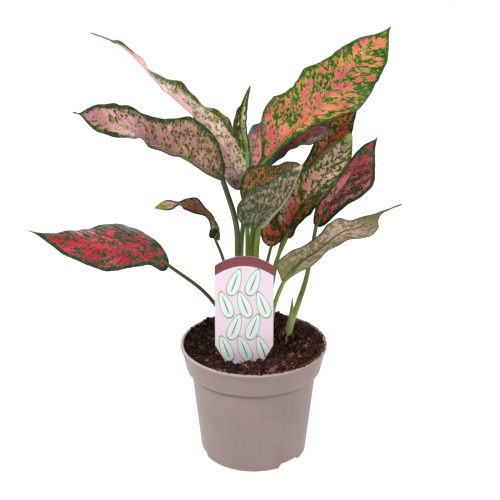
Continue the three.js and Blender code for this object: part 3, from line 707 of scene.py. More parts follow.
leaves = {
    "leaf_lower_left": {
        "stalk": [(-19, -2, 72), (-20, -2, 100), (-26, -4, 124), (-41, -8, 147)],
        "thick": (2, 1.4),
        "spine": [(-67, -14, 171), (-81, -23, 187), (-101, -32, 194), (-123, -42, 199), (-145, -51, 207),
                  (-166, -60, 218)],
        "face": [(0.1, -0.6, 0.8), (0, -0.6, 0.8), (-0.1, -0.55, 0.8)],
        "left": [2, 8, 10, 16, 19.5, 14, 5, 1, 0.5],
        "right": [2, 8, 13, 23, 23.5, 14.5, 5.5, 1, 0.5],
        "riseLeft": [10, 5, 0], "riseRight": [10, 5, 0], "curl": -18, "wave": (1.5, 3),
        "look": {
            "ground": "2a4220", "groundLight": "5c6c5c", "blotch": "cb2846", "blotchPale": "e0485a",
            "cover": (0.74, 0.38), "rightCover": -0.06, "grain": (6.0, 3.6), "slant": 0.9,
            "rim": "7d4a3c", "fleck": "8c6c50", "flecks": (1.8, 0.45), "speck": "2c4630",
            "specks": (2.3, 0.42, 0.36, 0.3), "halo": "7a4038", "margin": "273f2c",
            "marginWidth": (3.0, 3.6), "edge": "1d2a1c", "midrib": "c2505a", "midribAmount": 0.12,
            "tip": "93804e", "stalkColour": "3c4a26", "stalkPale": "4e5e30", "roughness": 0.33,
            "rimWidth": 0.035, "foot": "26381c", "footUntil": 0.05, "footAmount": 0.9,
            "lengthCover": (-0.06, 0.05), "ragged": 0.6},
    },
    "leaf_small_curled": {
        "stalk": [(-15, 8, 72), (-15, 8, 100), (-17, 7, 130), (-24, 6, 166)],
        "thick": (1.7, 1.2),
        "spine": [(-31, 8, 185), (-29, 9, 194), (-36, 12, 205), (-47, 16, 210), (-58, 20, 211),
                  (-69, 24, 207), (-80, 28, 204)],
        "face": [(-0.35, -0.9, 0), (-0.55, -0.75, 0.35), (-0.1, -0.8, 0.6), (0, -0.7, 0.7)],
        "left": [4, 5.2, 6.2, 6.6, 6.6, 5.4, 4, 5.2, 7.9, 6.7, 2.2, 5.6, 5.9, 4.1, 2.7, 1.7, 0.6],
        "right": [3.4, 5.8, 7.2, 6.8, 5, 3.4, 2.6, 3.8, 7.6, 4, 0.9, 4.4, 5.3, 3.9, 1.9, 0.8, 0.5],
        "riseLeft": [40, 40, 30], "riseRight": [40, 40, 30], "wave": (1.5, 2),
        "look": {
            "ground": "232f14", "groundLight": "5a6338", "blotch": "94484a", "blotchPale": "c08a80",
            "cover": (0.7, 0.5), "grain": (5.0, 2.6), "slant": 0.4, "fleck": "9aa060",
            "flecks": (1.8, 0.3), "margin": "1c2812", "marginWidth": (1.5, 1.5), "edge": "151e0e",
            "midrib": "7f8450", "tip": "9aa34a", "tipFrom": 0.84, "tipReach": 0.1, "tipAmount": 0.6,
            "underGround": "44533a", "underBlotch": "a3847a", "underMarginWidth": 1.0,
            "stalkColour": "3a4c26", "stalkPale": "516234", "foot": "22321c", "footUntil": 0.17,
            "footAmount": 0.92},
    },
    "leaf_mid_left": {
        "stalk": [(-12, -6, 72), (-12, -6, 100), (-12.5, -6, 172), (-14, -8, 205)],
        "thick": (3, 2.2),
        "spine": [(-24, -14, 243), (-46, -24, 260), (-67, -34, 275), (-89, -45, 291), (-106, -55, 300),
                  (-127.5, -64, 309)],
        "face": [(0.58, -0.38, 0.72), (0.5, -0.4, 0.75), (0.3, -0.6, 0.7)],
        "left": [2, 6, 10, 15, 20, 23, 24, 21.5, 18, 18, 18.5, 14, 13, 7.5, 1, 0.6, 0.5],
        "right": [2, 7, 12, 18, 25, 29.5, 30.5, 21, 17.5, 20, 16, 14.5, 12.3, 6.8, 1, 0.6, 0.5],
        "riseLeft": [36, 34, 34, 28, 15, 5], "riseRight": [45, 42, 30, 15, 5, 5], "wave": (2.5, 3),
        "look": {
            "ground": "48531b", "groundLight": "8f8048", "blotch": "c98990", "blotchPale": "dba6a6",
            "cover": (0.84, 0.66), "lengthCover": (-0.12, 0.05), "grain": (5.0, 5.0), "slant": 0.3,
            "rim": "b39a6e", "rimWidth": 0.045, "rimAmount": 0.9, "fleck": "ac9660",
            "flecks": (2.0, 0.4), "speck": "33431a", "specks": (2.8, 0.6, 0.05, 0.35), "halo": "a8935c",
            "haloAmount": 0.9, "vein": "b5937c", "margin": "2c461e", "marginWidth": (4.2, 4.6),
            "midrib": "a29c5c", "midribAmount": 0.85, "tip": "33421c", "tipFrom": 0.96,
            "underGround": "55601f", "underBlotch": "8c7a42", "underRib": "6f7838",
            "stalkColour": "42502a", "stalkPale": "5e6c44", "clump": 2.5, "ragged": 0.6},
    },
    "leaf_upper_left": {
        "stalk": [(-8, 12, 72), (-8, 12, 100), (-10, 12, 168), (-8, 16, 200)],
        "thick": (2.4, 1.9),
        "spine": [(-8, 18, 224), (-25, 26, 256), (-45, 33, 278), (-72, 40, 301), (-102, 47, 331),
                  (-128, 52, 341)],
        "face": [(0.8, -0.2, 0.5), (0.75, -0.1, 0.65), (0.7, -0.1, 0.7)],
        "left": [2, 13, 18, 18, 15, 8, 3, 1.8, 0.5],
        "right": [2, 15, 21, 22, 20, 6, 0.8, 0.7, 0.5],
        "riseLeft": [-25, 22, 24], "riseRight": [36, 20, 10], "wave": (3, 4),
        "look": {
            "ground": "3f5c1c", "groundLight": "7f8a40", "blotch": "f9c0ca", "blotchPale": "ffdcdc",
            "cover": (0.985, 0.94), "rightCover": -0.2, "lengthCover": (0.06, -0.16),
            "grain": (8.0, 4.5), "slant": 0.3, "rim": "e2cf9f", "rimWidth": 0.05, "rimAmount": 0.9,
            "fleck": "cdbd7c", "flecks": (2.6, 0.85), "speck": "7a782c", "specks": (3.0, 0.62, 0.1, 0.4),
            "halo": "e5c59c", "haloAmount": 0.9, "vein": "e0bfae", "veinAmount": 0.05,
            "margin": "465f22", "marginWidth": (0.8, 7.5), "edge": "40522c", "midrib": "a98a6c",
            "midribAmount": 0.6, "tip": "66543a", "tipFrom": 0.8, "tipReach": 0.18, "tipAmount": 0.9,
            "underGround": "e6b4b0", "underBlotch": "f2bcc2", "underRib": "dda0a2",
            "underMargin": "e0b49c", "underMarginWidth": 1.0, "stalkColour": "58661e",
            "stalkPale": "8a9148", "leftEdge": 0.0, "clump": 1.5, "midribWidth": 0.9},
    },
    "leaf_new_spear": {
        "stalk": [(-4, 6, 72), (-4, 6, 100), (-5, 6, 168), (-5, 7, 215)],
        "thick": (2.2, 1.5),
        "spine": [(-5, 4, 259), (-9, 4, 276), (-9, 5, 288), (-7, 6, 298), (-3, 7, 310)],
        "face": [(0.1, -0.9, 0.1), (0.1, -0.9, 0.1)],
        "left": [1.5, 1.6, 1.8, 2.5, 5, 9.5, 11, 9.5, 8, 6.5, 3.4, 2.6, 2, 1.4, 0.8, 0.6, 0.5],
        "right": [1.5, 3, 4.5, 5, 4.5, 3.5, 2, 1, 0.5],
        "riseLeft": [30, 25, 20], "riseRight": [30, 25, 20], "curl": 20, "wave": (0.5, 2),
        "look": {
            "ground": "26340a", "groundLight": "4c5c1a", "blotch": "c2b982", "blotchPale": "efd8c2",
            "cover": (0.08, 0.04), "rightCover": 0.13, "lengthCover": (0.2, -0.1), "grain": (5.0, 2.0),
            "slant": 0.2, "fleck": "7f914a", "flecks": (1.8, 0.3), "speck": "2a3c0e", "margin": "3f5610",
            "marginWidth": (0.6, 1.6), "midrib": "b3bc74", "midribAmount": 0.9, "tip": "5f7a40",
            "stalkColour": "7a9a40", "stalkPale": "98b25a"},
    },
    "leaf_upper_right": {
        "stalk": [(-2, -1, 72), (-2, -1, 100), (-2, 0, 172), (1, 4, 210)],
        "thick": (2.5, 2.1),
        "spine": [(5, 8, 245), (22.5, 19, 263), (42, 30, 278), (61, 41, 297), (78, 52, 314), (96, 63, 332),
                  (109, 71, 342)],
        "face": [(-0.3, -0.85, 0.45), (-0.3, -0.8, 0.5)],
        "left": [3, 3.5, 4.5, 10, 20, 30, 31, 27.5, 28.5, 21.5, 19, 13, 5, 2, 1, 0.6, 0.5],
        "right": [3, 3.5, 4, 4.5, 5.5, 6.5, 10, 21, 28, 28, 24.5, 19.5, 12.5, 6.5, 2.5, 0.8, 0.5],
        "riseLeft": [5, 5], "riseRight": [30, 10, 0], "wave": (2, 3.5),
        "look": {
            "ground": "265a10", "groundLight": "40721a", "blotch": "ec5f70", "blotchPale": "f0886e",
            "cover": (0.26, 0.05), "grain": (4.6, 4.6), "slant": 0.6, "rightStretch": 1.5,
            "rim": "d9a05c", "rimWidth": 0.03, "rimAmount": 0.9, "fleck": "a8a03c",
            "flecks": (2.3, 0.68), "speck": "28561a", "specks": (2.4, 0.3, 0.2, 0.1), "halo": "b8a648",
            "haloAmount": 0.6, "vein": "b99a50", "veinAmount": 0.2, "margin": "285c14",
            "marginWidth": (4.2, 3.6), "midrib": "a5804a", "midribAmount": 0.85, "tip": "4a6a34",
            "stalkColour": "4f5a20", "stalkPale": "82863e", "spots": [(9.5, 0.6), (4.6, 0.28)]},
    },
    "leaf_under_upper_right": {
        "stalk": [(3, 13, 72), (3, 13, 100), (2, 14, 172), (1, 17, 205)],
        "thick": (2.3, 1.9),
        "spine": [(2, 20, 234), (13, 28, 248), (29, 37, 260), (45, 45, 271), (61, 52, 281)],
        "face": [(-0.3, -0.7, 0.6), (-0.3, -0.7, 0.6)],
        "left": [3, 6.5, 15, 28, 27, 22, 14, 5, 0.5],
        "right": [3, 5, 7.5, 11.5, 17, 26, 19, 6, 0.5],
        "riseLeft": [5, 5], "riseRight": [20, 20], "wave": (2, 3),
        "look": {
            "ground": "3f5238", "groundLight": "707a66", "blotch": "d0566a", "blotchPale": "dc7c74",
            "cover": (0.85, 0.6), "grain": (6, 5), "rim": "7a5a50", "fleck": "8a7a58",
            "flecks": (2.0, 0.3), "speck": "3a5244", "specks": (2.6, 0.25, 0.2, 0.2), "margin": "55685e",
            "marginWidth": (4.0, 5.0), "midrib": "8a5a48", "stalkColour": "4c5a1e",
            "stalkPale": "6e7a3c", "baseBlotch": "c4485c"},
    },
    "leaf_behind_right": {
        "stalk": [(11, 10, 72), (11, 10, 100), (14, 12, 135), (21, 17, 171)],
        "thick": (2, 1.5),
        "spine": [(40, 29, 231), (51, 38, 245), (64, 47, 258), (75, 56, 271), (84, 64, 284)],
        "face": [(-0.3, -0.8, 0.5), (-0.3, -0.8, 0.5)],
        "left": [2, 6, 6, 8, 13, 14, 9, 3, 0.5],
        "right": [2, 9, 14, 16, 16, 9, 5, 3, 0.5],
        "riseLeft": [20, 10, 5], "riseRight": [20, 10, 5], "wave": (1.5, 2.5),
        "look": {
            "ground": "3c4a18", "groundLight": "7a7a30", "blotch": "f0463c", "blotchPale": "f4886a",
            "cover": (0.44, 0.36), "grain": (4.6, 4.2), "rim": "8a6a38", "fleck": "c8b868",
            "flecks": (2.2, 0.5), "speck": "263a17", "specks": (2.6, 0.4, 0.3, 0.3), "halo": "8f7a38",
            "margin": "2b4620", "marginWidth": (2.5, 2.0), "midrib": "8a6a3a", "stalkColour": "5a6a22",
            "stalkPale": "7e8a3c", "ragged": 0.7},
    },
    "leaf_mid_right": {
        "stalk": [(11, -2, 72), (11, -2, 100), (13, -2, 145), (18, -2, 170)],
        "thick": (2.1, 1.5),
        "spine": [(26, -2, 190), (32, 1, 206), (41, 5, 219), (51, 9, 232), (62, 14, 247), (76, 22, 268)],
        "face": [(-0.3, -0.8, 0.5), (-0.3, -0.8, 0.5)],
        "left": [2, 8, 14, 17, 17, 14, 10, 3, 0.5],
        "right": [2, 7, 8, 13, 15, 15, 13, 5, 0.5],
        "riseLeft": [25, 15, 5], "riseRight": [35, 25, 5], "wave": (1.5, 3),
        "look": {
            "ground": "26380e", "groundLight": "465a34", "blotch": "c08e84", "blotchPale": "d0aa98",
            "baseBlotch": "dc4a50", "cover": (0.66, 0.28), "rightCover": -0.08, "grain": (5.0, 4.8),
            "slant": 0.7, "rim": "8c8c42", "rimWidth": 0.025, "rimAmount": 0.8, "fleck": "9c9846",
            "flecks": (2.3, 0.45), "speck": "20300e", "specks": (2.6, 0.4, 0.3, 0.2), "halo": "8f8c44",
            "margin": "2a4414", "marginWidth": (3.4, 3.0), "midrib": "3f5026", "midribAmount": 0.8,
            "tip": "8a9a4a", "stalkColour": "5a7230", "stalkPale": "84964c", "spots": [(8.0, 0.3)],
            "rightBlotch": "c04436"},
    },
    "leaf_front_centre": {
        "stalk": [(2, -9, 72), (2, -9, 100), (1, -8, 150), (2, -8, 180)],
        "thick": (2.5, 2.1),
        "spine": [(4, -8, 201), (12, -17, 213), (19, -26, 224), (26, -36, 238), (31, -45, 252),
                  (35, -54, 266)],
        "face": [(-0.6, 0.42, 0.68), (-0.6, 0.42, 0.68)],
        "left": [2, 11, 20, 29, 36, 40, 41, 38, 35, 29, 24.5, 19, 14.5, 9, 5, 1.5, 0.5],
        "right": [2, 15, 26, 29, 27, 20, 12, 4, 0.5],
        "riseLeft": [98, 72, 50], "riseRight": [15, 50, 50, 47, 45], "wave": (1.5, 2.5),
        "look": {
            "ground": "283614", "groundLight": "665634", "blotch": "9a4a34", "blotchPale": "b87050",
            "cover": (0.42, 0.3), "grain": (5.6, 2.8), "fleck": "a27c48", "flecks": (2.0, 0.5),
            "speck": "29341a", "specks": (2.4, 0.5, 0.4, 0.2), "halo": "86683c", "margin": "2a3e1c",
            "marginWidth": (2.5, 2.0), "midrib": "a8a080", "underGround": "364b32",
            "underBlotch": "8e7c62", "underMargin": "3a5344", "underMarginWidth": 1.5,
            "underRib": "8f9474", "underCover": (0.5, 0.3), "tip": "c9b49a", "tipFrom": 0.95,
            "stalkColour": "5c7c1e", "stalkPale": "8a9e44", "ragged": 0.55, "slant": 0.9,
            "underPale": "a5876f"},
    },
    "leaf_small_red": {
        "stalk": [(6, 4, 72), (6, 4, 100), (8, 5, 145), (11, 6, 166)],
        "thick": (1.7, 1.2),
        "spine": [(14, 7, 179), (14, 8, 187), (15, 10, 196), (18, 12, 208), (21, 14, 218)],
        "face": [(-0.1, -0.8, 0.5), (-0.1, -0.8, 0.5)],
        "left": [2, 4, 7, 9, 9, 7, 5, 2, 0.5],
        "right": [2, 4, 8, 10, 9, 7, 5, 2, 0.5],
        "riseLeft": [15, 10, 5], "riseRight": [15, 10, 5], "wave": (1, 2),
        "look": {
            "ground": "4a4420", "groundLight": "6a5a34", "blotch": "f2484a", "blotchPale": "ff8a78",
            "cover": (0.4, 0.3), "grain": (7.5, 6.5), "rim": "a5704a", "fleck": "c08a58",
            "flecks": (2.2, 0.55), "speck": "222c16", "specks": (2.2, 0.3, 0.15, 0.1),
            "margin": "243c1c", "marginWidth": (2.2, 2.2), "midribAmount": 0.3, "stalkColour": "526235",
            "stalkPale": "63733d", "ragged": 0.35},
    },
    "leaf_lower_right": {
        "stalk": [(11, -12, 72), (11, -12, 100), (14, -10, 122), (18, -10, 140)],
        "thick": (2.2, 1.7),
        "spine": [(24, -12, 157), (35, -20, 176), (49, -28, 190), (66, -38, 209), (80, -47, 217),
                  (93, -56, 231), (107, -66, 241)],
        "face": [(-0.3, 0.85, 0.35), (-0.3, 0.85, 0.35), (-0.2, 0.8, 0.4)],
        "left": [2, 2.8, 4, 7.2, 12, 13, 11, 11, 13, 19, 15, 4.5, 1.2, 1.1, 1, 0.7, 0.5],
        "right": [2, 4, 7, 12.5, 17, 17.3, 15, 10.5, 15, 20, 11, 3.5, 1.5, 1.1, 1, 0.7, 0.5],
        "riseLeft": [0, 0], "riseRight": [0, 0], "wave": (1.5, 3),
        "look": {
            "ground": "4a5f28", "groundLight": "66743a", "blotch": "c0706a", "blotchPale": "cf8c80",
            "cover": (0.7, 0.4), "grain": (5.0, 4.4), "slant": 0.8, "underGround": "75694a",
            "underBlotch": "ab947e", "underMargin": "47532a", "underMarginWidth": 1.4,
            "underRib": "5a6030", "underCover": (0.84, 0.7), "lengthCover": (-0.2, 0.02),
            "fleck": "8a9a58", "speck": "4a5528", "specks": (2.6, 0.5, 0.35, 0.2), "halo": "8a8250",
            "tip": "625f2e", "stalkColour": "889c46", "stalkPale": "a6b45e", "foot": "7c9436",
            "footUntil": 0.18, "footAmount": 0.45, "ragged": 0.7, "underPale": "b89e8c",
            "underFoot": "8a9652", "tipFrom": 0.66, "tipReach": 0.1, "tipAmount": 0.66},
    },
    "leaf_right_red": {
        "stalk": [(28, 17, 72), (29.2, 17, 99), (36.5, 18, 123), (43.5, 18, 149)],
        "thick": (3.2, 1.6),
        "spine": [(50, 16, 193), (61, 23, 209), (72, 30, 221), (82, 38, 235), (91, 45, 246),
                  (100, 52, 256)],
        "face": [(-0.3, -0.8, 0.5), (-0.3, -0.8, 0.5)],
        "left": [2, 5, 9, 11, 9, 7, 5, 1, 0.5],
        "right": [2, 6.5, 10.5, 14, 22.5, 14.5, 6, 1.5, 0.5],
        "riseLeft": [15, 10, 5], "riseRight": [15, 10, 5], "wave": (1.5, 2.5),
        "look": {
            "ground": "47562f", "groundLight": "74795a", "blotch": "ee5266", "blotchPale": "f4858e",
            "cover": (0.72, 0.45), "grain": (7.0, 4.2), "slant": 0.7, "rim": "9a6450", "fleck": "93705c",
            "flecks": (2.0, 0.35), "speck": "3f3a22", "specks": (2.7, 0.35, 0.2, 0.35), "halo": "6a5c50",
            "margin": "34482a", "marginWidth": (2.4, 3.2), "midrib": "47613e", "midribAmount": 0.7,
            "stalkColour": "5e6e32", "stalkPale": "82944e", "stalkFoot": "cfd68e", "footReach": 0.6,
            "rimWidth": 0.03, "ragged": 0.6, "rightCover": -0.035},
        "bract": [(29.8, 16.6, 101), (31.7, 15, 131)],
    },
}
leafMake = {
    "rows": 46, "rowsPerLength": 0.95, "halfColumns": 28, "rowCrowding": 0.55, "columnCrowding": 0.5,
    "middle": 0.85, "edge": 0.45, "leastHalfWidth": 0.4, "unevenness": 0.02, "unevenSize": 4.0,
    "swell": 0.9, "swellSize": 17.0, "ripple": 0.35, "rippleCount": 2.7, "foldRound": 0.03,
    "quilt": 0.55, "channel": 0.7, "channelHalf": 1.3, "veinSweep": (0.75, 0.35),
    "tubeSides": 22, "tubeRings": 40, "ribRings": 34, "ribReach": 0.94, "ribTip": 0.25, "grooveHalf": 0.6,
    "bractRings": 14, "bractRadii": ([0, 0.35, 0.7, 1], [3.0, 2.3, 1.3, 0.2]),
    "bractFace": (0.3, -1.0, 0.2),
}


# A waxy leaf. veinMap holds, in metres, the place along the side veins' pattern, across the leaf
# and along the midrib; leafAt holds the place from base to tip, the share of the half width, and 1
# on the underside. Ragged blotches, flecks and specks over dark green make it read as Aglaonema.
def leafMaterial(name, look, number):
    material, add = newMaterial(name)
    veins, leafAt = (add("Attribute", out=1, attribute_name=key) for key in ("veinMap", "leafAt"))
    vein, aside, upRib = add("SeparateXYZ", [veins], (0, 1, 2))
    upLeaf, outward, under = add("SeparateXYZ", [leafAt], (0, 1, 2))
    place = add("TexCoord", out="Object")
    onRight = add("Math", [aside, 0.0], operation="GREATER_THAN")
    across = add("Math", [aside], operation="ABSOLUTE")
    slanted = add("Math", [upRib, add("Math", [across, look["slant"]], **times)], **minus)
    widening = add("MapRange", [onRight, 0.0, 1.0, 1.0, look["rightStretch"]])
    stretched = add("Math", [aside, widening], **divide)
    # The distance to the margin
    inset = add("Math", [across, add("Math", [1.0, outward], **minus)], **times)
    inset = add("Math", [inset, add("Math", [outward, 0.02], **larger)], **divide)

    # A place in the leaf's pattern, counted in steps of two sizes in millimetres
    def patternAt(alongSize, acrossSize, shift):
        steps = [add("Math", [where, 1 / (size * mm)], **times)
                 for where, size in ((slanted, alongSize), (stretched, acrossSize))]
        return add("CombineXYZ", [*steps, number * 7.3 + shift])

    def leafNoise(alongSize, acrossSize, detail, shift):
        return add("TexNoise", {"Vector": patternAt(alongSize, acrossSize, shift), "Scale": 1.0,
                                "Detail": detail, "Roughness": 0.6, "Distortion": 0.4})

    # Separate ragged spots and their haloes: cells of a Voronoi pattern, each filled out to a radius
    # of its own, and only those whose random number is below the share
    def spotField(size, share, shift, wobble=0.7, halo=0.2):
        where = patternAt(size, size * 1.15, shift)
        push = add("TexNoise", {"Vector": where, "Scale": 2.2, "Detail": 1.5}, 1)
        push = add("VectorMath", [push, (0.5, 0.5, 0.5)], **minus)
        push = add("VectorMath", [push, (wobble, wobble, 0.0)], **times)
        where = add("VectorMath", [where, push], **plus)
        away, random = add("TexVoronoi", {"Vector": where, "Scale": 1.0}, (0, 1), voronoi_dimensions="2D")
        chance, reach = add("SeparateColor", [random], (0, 1))
        beyond = add("Math", [away, add("MapRange", [reach, 0.0, 1.0, 0.16, 0.54])], **minus)
        present = add("Math", [chance, share], operation="LESS_THAN")
        return [add("Math", [add("MapRange", [beyond, outer, inner], **soft), present], **times)
                for outer, inner in ((0.05, -0.05), (halo, 0.05))]

    even = leafNoise(*look["grain"], 1.0, 0)
    small = leafNoise(1.7, 1.9, 2.0, 3)
    fine = leafNoise(0.9, 1.2, 2.0, 5)
    smallSwing, fineSwing, crowd = (
        add("Math", [noise, 0.5], **minus) for noise in (small, fine, leafNoise(7.0, 6.0, 1.0, 9)))
    broad = add("TexNoise", {"Vector": place, "Scale": 38.0, "Detail": 2.0})
    large = add("Math", [even, add("MapRange", [upLeaf, 0.0, 1.0, *look["lengthCover"]])], **plus)
    large = add("Math", [onRight, look["rightCover"], large], **timesPlus)

    # The blotches' level: noise is near 0.5 with a spread of 0.11, so that a share of cover becomes
    # a shift of 0.065 log(share / (1 - share))
    def patches(cover):
        shifts = [0.065 * math.log(part / (1 - part)) for part in cover]
        level = add("Math", [large, add("MapRange", [outward, 0.0, 1.0, *shifts])], **plus)
        return add("Math", [smallSwing, look["ragged"], level], **timesPlus)

    patch = patches(look["cover"])
    crisp, rimWidth = look["crisp"], look["rimWidth"]
    blotch = add("MapRange", [patch, 0.5 - crisp, 0.5 + crisp], **soft)
    rim = add("MapRange", [patch, 0.5 - 2 * rimWidth, 0.5 - rimWidth], **soft)
    for layer, (size, share) in enumerate(look["spots"]):
        spot, spotRim = spotField(size, share, 31 + 5 * layer, 0.9, 0.12)
        blotch, rim = (add("Math", pair, **larger) for pair in ([blotch, spot], [rim, spotRim]))
    flecks = spotField(*look["flecks"], 12)[0]
    size, atBase, atTip, atMargin = look["specks"]
    share = add("MapRange", [upLeaf, 0.0, 1.0, atBase, atTip])
    share = add("Math", [add("Math", [outward, 3.0], operation="POWER"), atMargin, share], **timesPlus)
    share = add("Math", [crowd, look["clump"], share], **timesPlus)
    specks, haloes = spotField(size, share, 21)
    nearVein = add("Math", [vein, look["veinSpacing"] * mm], **divide)
    nearVein = add("Math", [nearVein, 0.5], operation="PINGPONG")
    veinLine = add("MapRange", [nearVein, 0.09, 0.02, 0.0, look["veinAmount"]], **soft)
    ribHalf = add("Math", [add("Math", [1.08, upLeaf], **minus), look["midribWidth"] * mm], **times)
    rib = add("MapRange", [add("Math", [across, ribHalf], **divide), 1.25, 0.75], **soft)
    wander = add("Math", [smallSwing, 2.0, add("Math", [even, 1.5, 0.025], **timesPlus)], **timesPlus)

    # The green margin, with its width on the left and on the right and a wandering inner edge
    def marginOf(left, right):
        width = add("MapRange", [onRight, 0.0, 1.0, left * mm, right * mm])
        part = add("Math", [inset, add("Math", [width, wander], **times)], **divide)
        return add("MapRange", [part, 1.12, 0.88], **soft)

    edgeWidth, tipFrom, tipReach, until = (
        look[key] for key in ("edgeWidth", "tipFrom", "tipReach", "footUntil"))
    edge = add("MapRange", [inset, edgeWidth * mm, 0.5 * edgeWidth * mm], **soft)
    edge = add("Math", [edge, add("MapRange", [onRight, 0.0, 1.0, look["leftEdge"], 1.0])], **times)
    tip = add("MapRange", [upLeaf, tipFrom - tipReach, tipFrom + tipReach, 0.0, look["tipAmount"]], **soft)
    foot = add("Math", [smallSwing, until, upLeaf], **timesPlus)
    foot = add("MapRange", [foot, until * 1.3, until * 0.7, 0.0, look["footAmount"]], **soft)
    lowerHalf = add("MapRange", [upLeaf, 0.72, 0.45, 0.0, 0.8], **soft)
    red = coats(
        add, look["baseBlotch"] or look["blotch"],
        (add("MapRange", [upLeaf, 0.35, 0.62], **soft), look["blotch"]),
        (add("MapRange", [broad, 0.4, 0.62], **soft), look["blotchPale"]))
    if look["rightBlotch"]:
        red = coats(add, red, (add("Math", [onRight, lowerHalf], **times), look["rightBlotch"]))
    upper = coats(
        add, look["ground"],
        (add("MapRange", [fine, 0.42, 0.66], **soft), look["groundLight"]),
        (flecks, look["fleck"], 0.95),
        (rim, look["rim"], look["rimAmount"]),
        (blotch, red),
        (haloes, look["halo"], look["haloAmount"]),
        (specks, look["speck"], 0.92),
        (veinLine, look["vein"]),
        (marginOf(*look["marginWidth"]), coats(add, look["margin"], (flecks, look["fleck"], 0.35))),
        (edge, look["edge"]),
        (rib, look["midrib"], look["midribAmount"]),
        (tip, look["tip"]),
        (foot, look["foot"]))
    paleMask = add("MapRange", [broad, 0.4, 0.6], **soft)
    pale = coats(add, look["underBlotch"], (paleMask, look["underPale"] or look["underBlotch"]))
    lower = coats(
        add, look["underGround"],
        (add("MapRange", [patches(look["underCover"] or look["cover"]), 0.4, 0.6], **soft), pale),
        (specks, look["underGround"], 0.4),
        (veinLine, look["underRib"], 0.8),
        (marginOf(*[look["underMarginWidth"]] * 2), look["underMargin"] or look["underGround"]),
        (edge, look["edge"], 0.8),
        (rib, look["underRib"]),
        (tip, look["tip"]))
    if look["underFoot"]:
        lower = coats(add, lower, (foot, look["underFoot"]))
    colour = coats(add, upper, (add("MapRange", [under, 0.4, 0.6], **soft), lower))
    value = add("MapRange", [broad, 0.3, 0.7, 0.86, 1.12])
    for swing, strength in ((smallSwing, 0.75), (fineSwing, 0.7)):
        value = add("Math", [swing, strength, value], **timesPlus)
    colour = add("HueSaturation", {"Value": value, "Color": colour})
    rough = add("MapRange", [fine, 0.3, 0.7, look["roughness"] - 0.07, look["roughness"] + 0.1])
    rough = add("Math", [under, 0.25, rough], **timesPlus)
    cells = add("TexNoise", {"Vector": place, "Scale": 1500.0, "Detail": 2.0})  # 0.7 mm
    height = add("Math", [cells, 0.05, add("Math", [fine, 0.12], **times)], **timesPlus)
    finishMaterial(add, {"Base Color": colour, "Roughness": rough, "IOR": 1.45, "Specular IOR Level": 0.2},
                   height, 0.7)
    return material


# The fleshy stalk: satin skin with long pale streaks, paler at its foot. leafAt holds the place
# along it (above 1 on the midrib's underside) and the cosine and sine of the angle round it.
def stalkMaterial(name, look, number):
    material, add = newMaterial(name)
    place = add("Attribute", out=1, attribute_name="leafAt")
    upStalk = add("SeparateXYZ", [place])
    where = add("Mapping", {"Vector": place, "Scale": (4.0, 2.2, 2.2),
                            "Location": (number * 3.1, 0.0, 0.0)})
    streak = add("TexNoise", {"Vector": where, "Scale": 1.5, "Detail": 4.0, "Roughness": 0.6})
    reach = look["footReach"]
    colour = coats(
        add, look["stalkColour"],
        (add("MapRange", [streak, 0.4, 0.66]), look["stalkPale"]),
        (add("MapRange", [upStalk, reach, reach - 0.22, 0.0, 0.85]), look["stalkFoot"]),
        (add("MapRange", [upStalk, 0.98, 1.12]), look["underRib"]))
    finishMaterial(add, {"Base Color": colour, "Roughness": 0.45, "IOR": 1.45, "Specular IOR Level": 0.2},
                   streak, 0.25)
    return material


# Directions at t on the midrib: along it, out of the upper side, and to the right
def bladeFrame(leaf, t, step=1e-3):
    tangent = unit(along(leaf["spine"], t + step) - along(leaf["spine"], t - step))
    up = squareTo(tangent, along(leaf["face"], t))
    return tangent, up, np.cross(tangent, up)


# Even steps crowded towards both ends: u - crowding sin(2 pi u) / (2 pi)
def crowded(u, crowding):
    return u - crowding * np.sin(2 * np.pi * u) / (2 * np.pi)


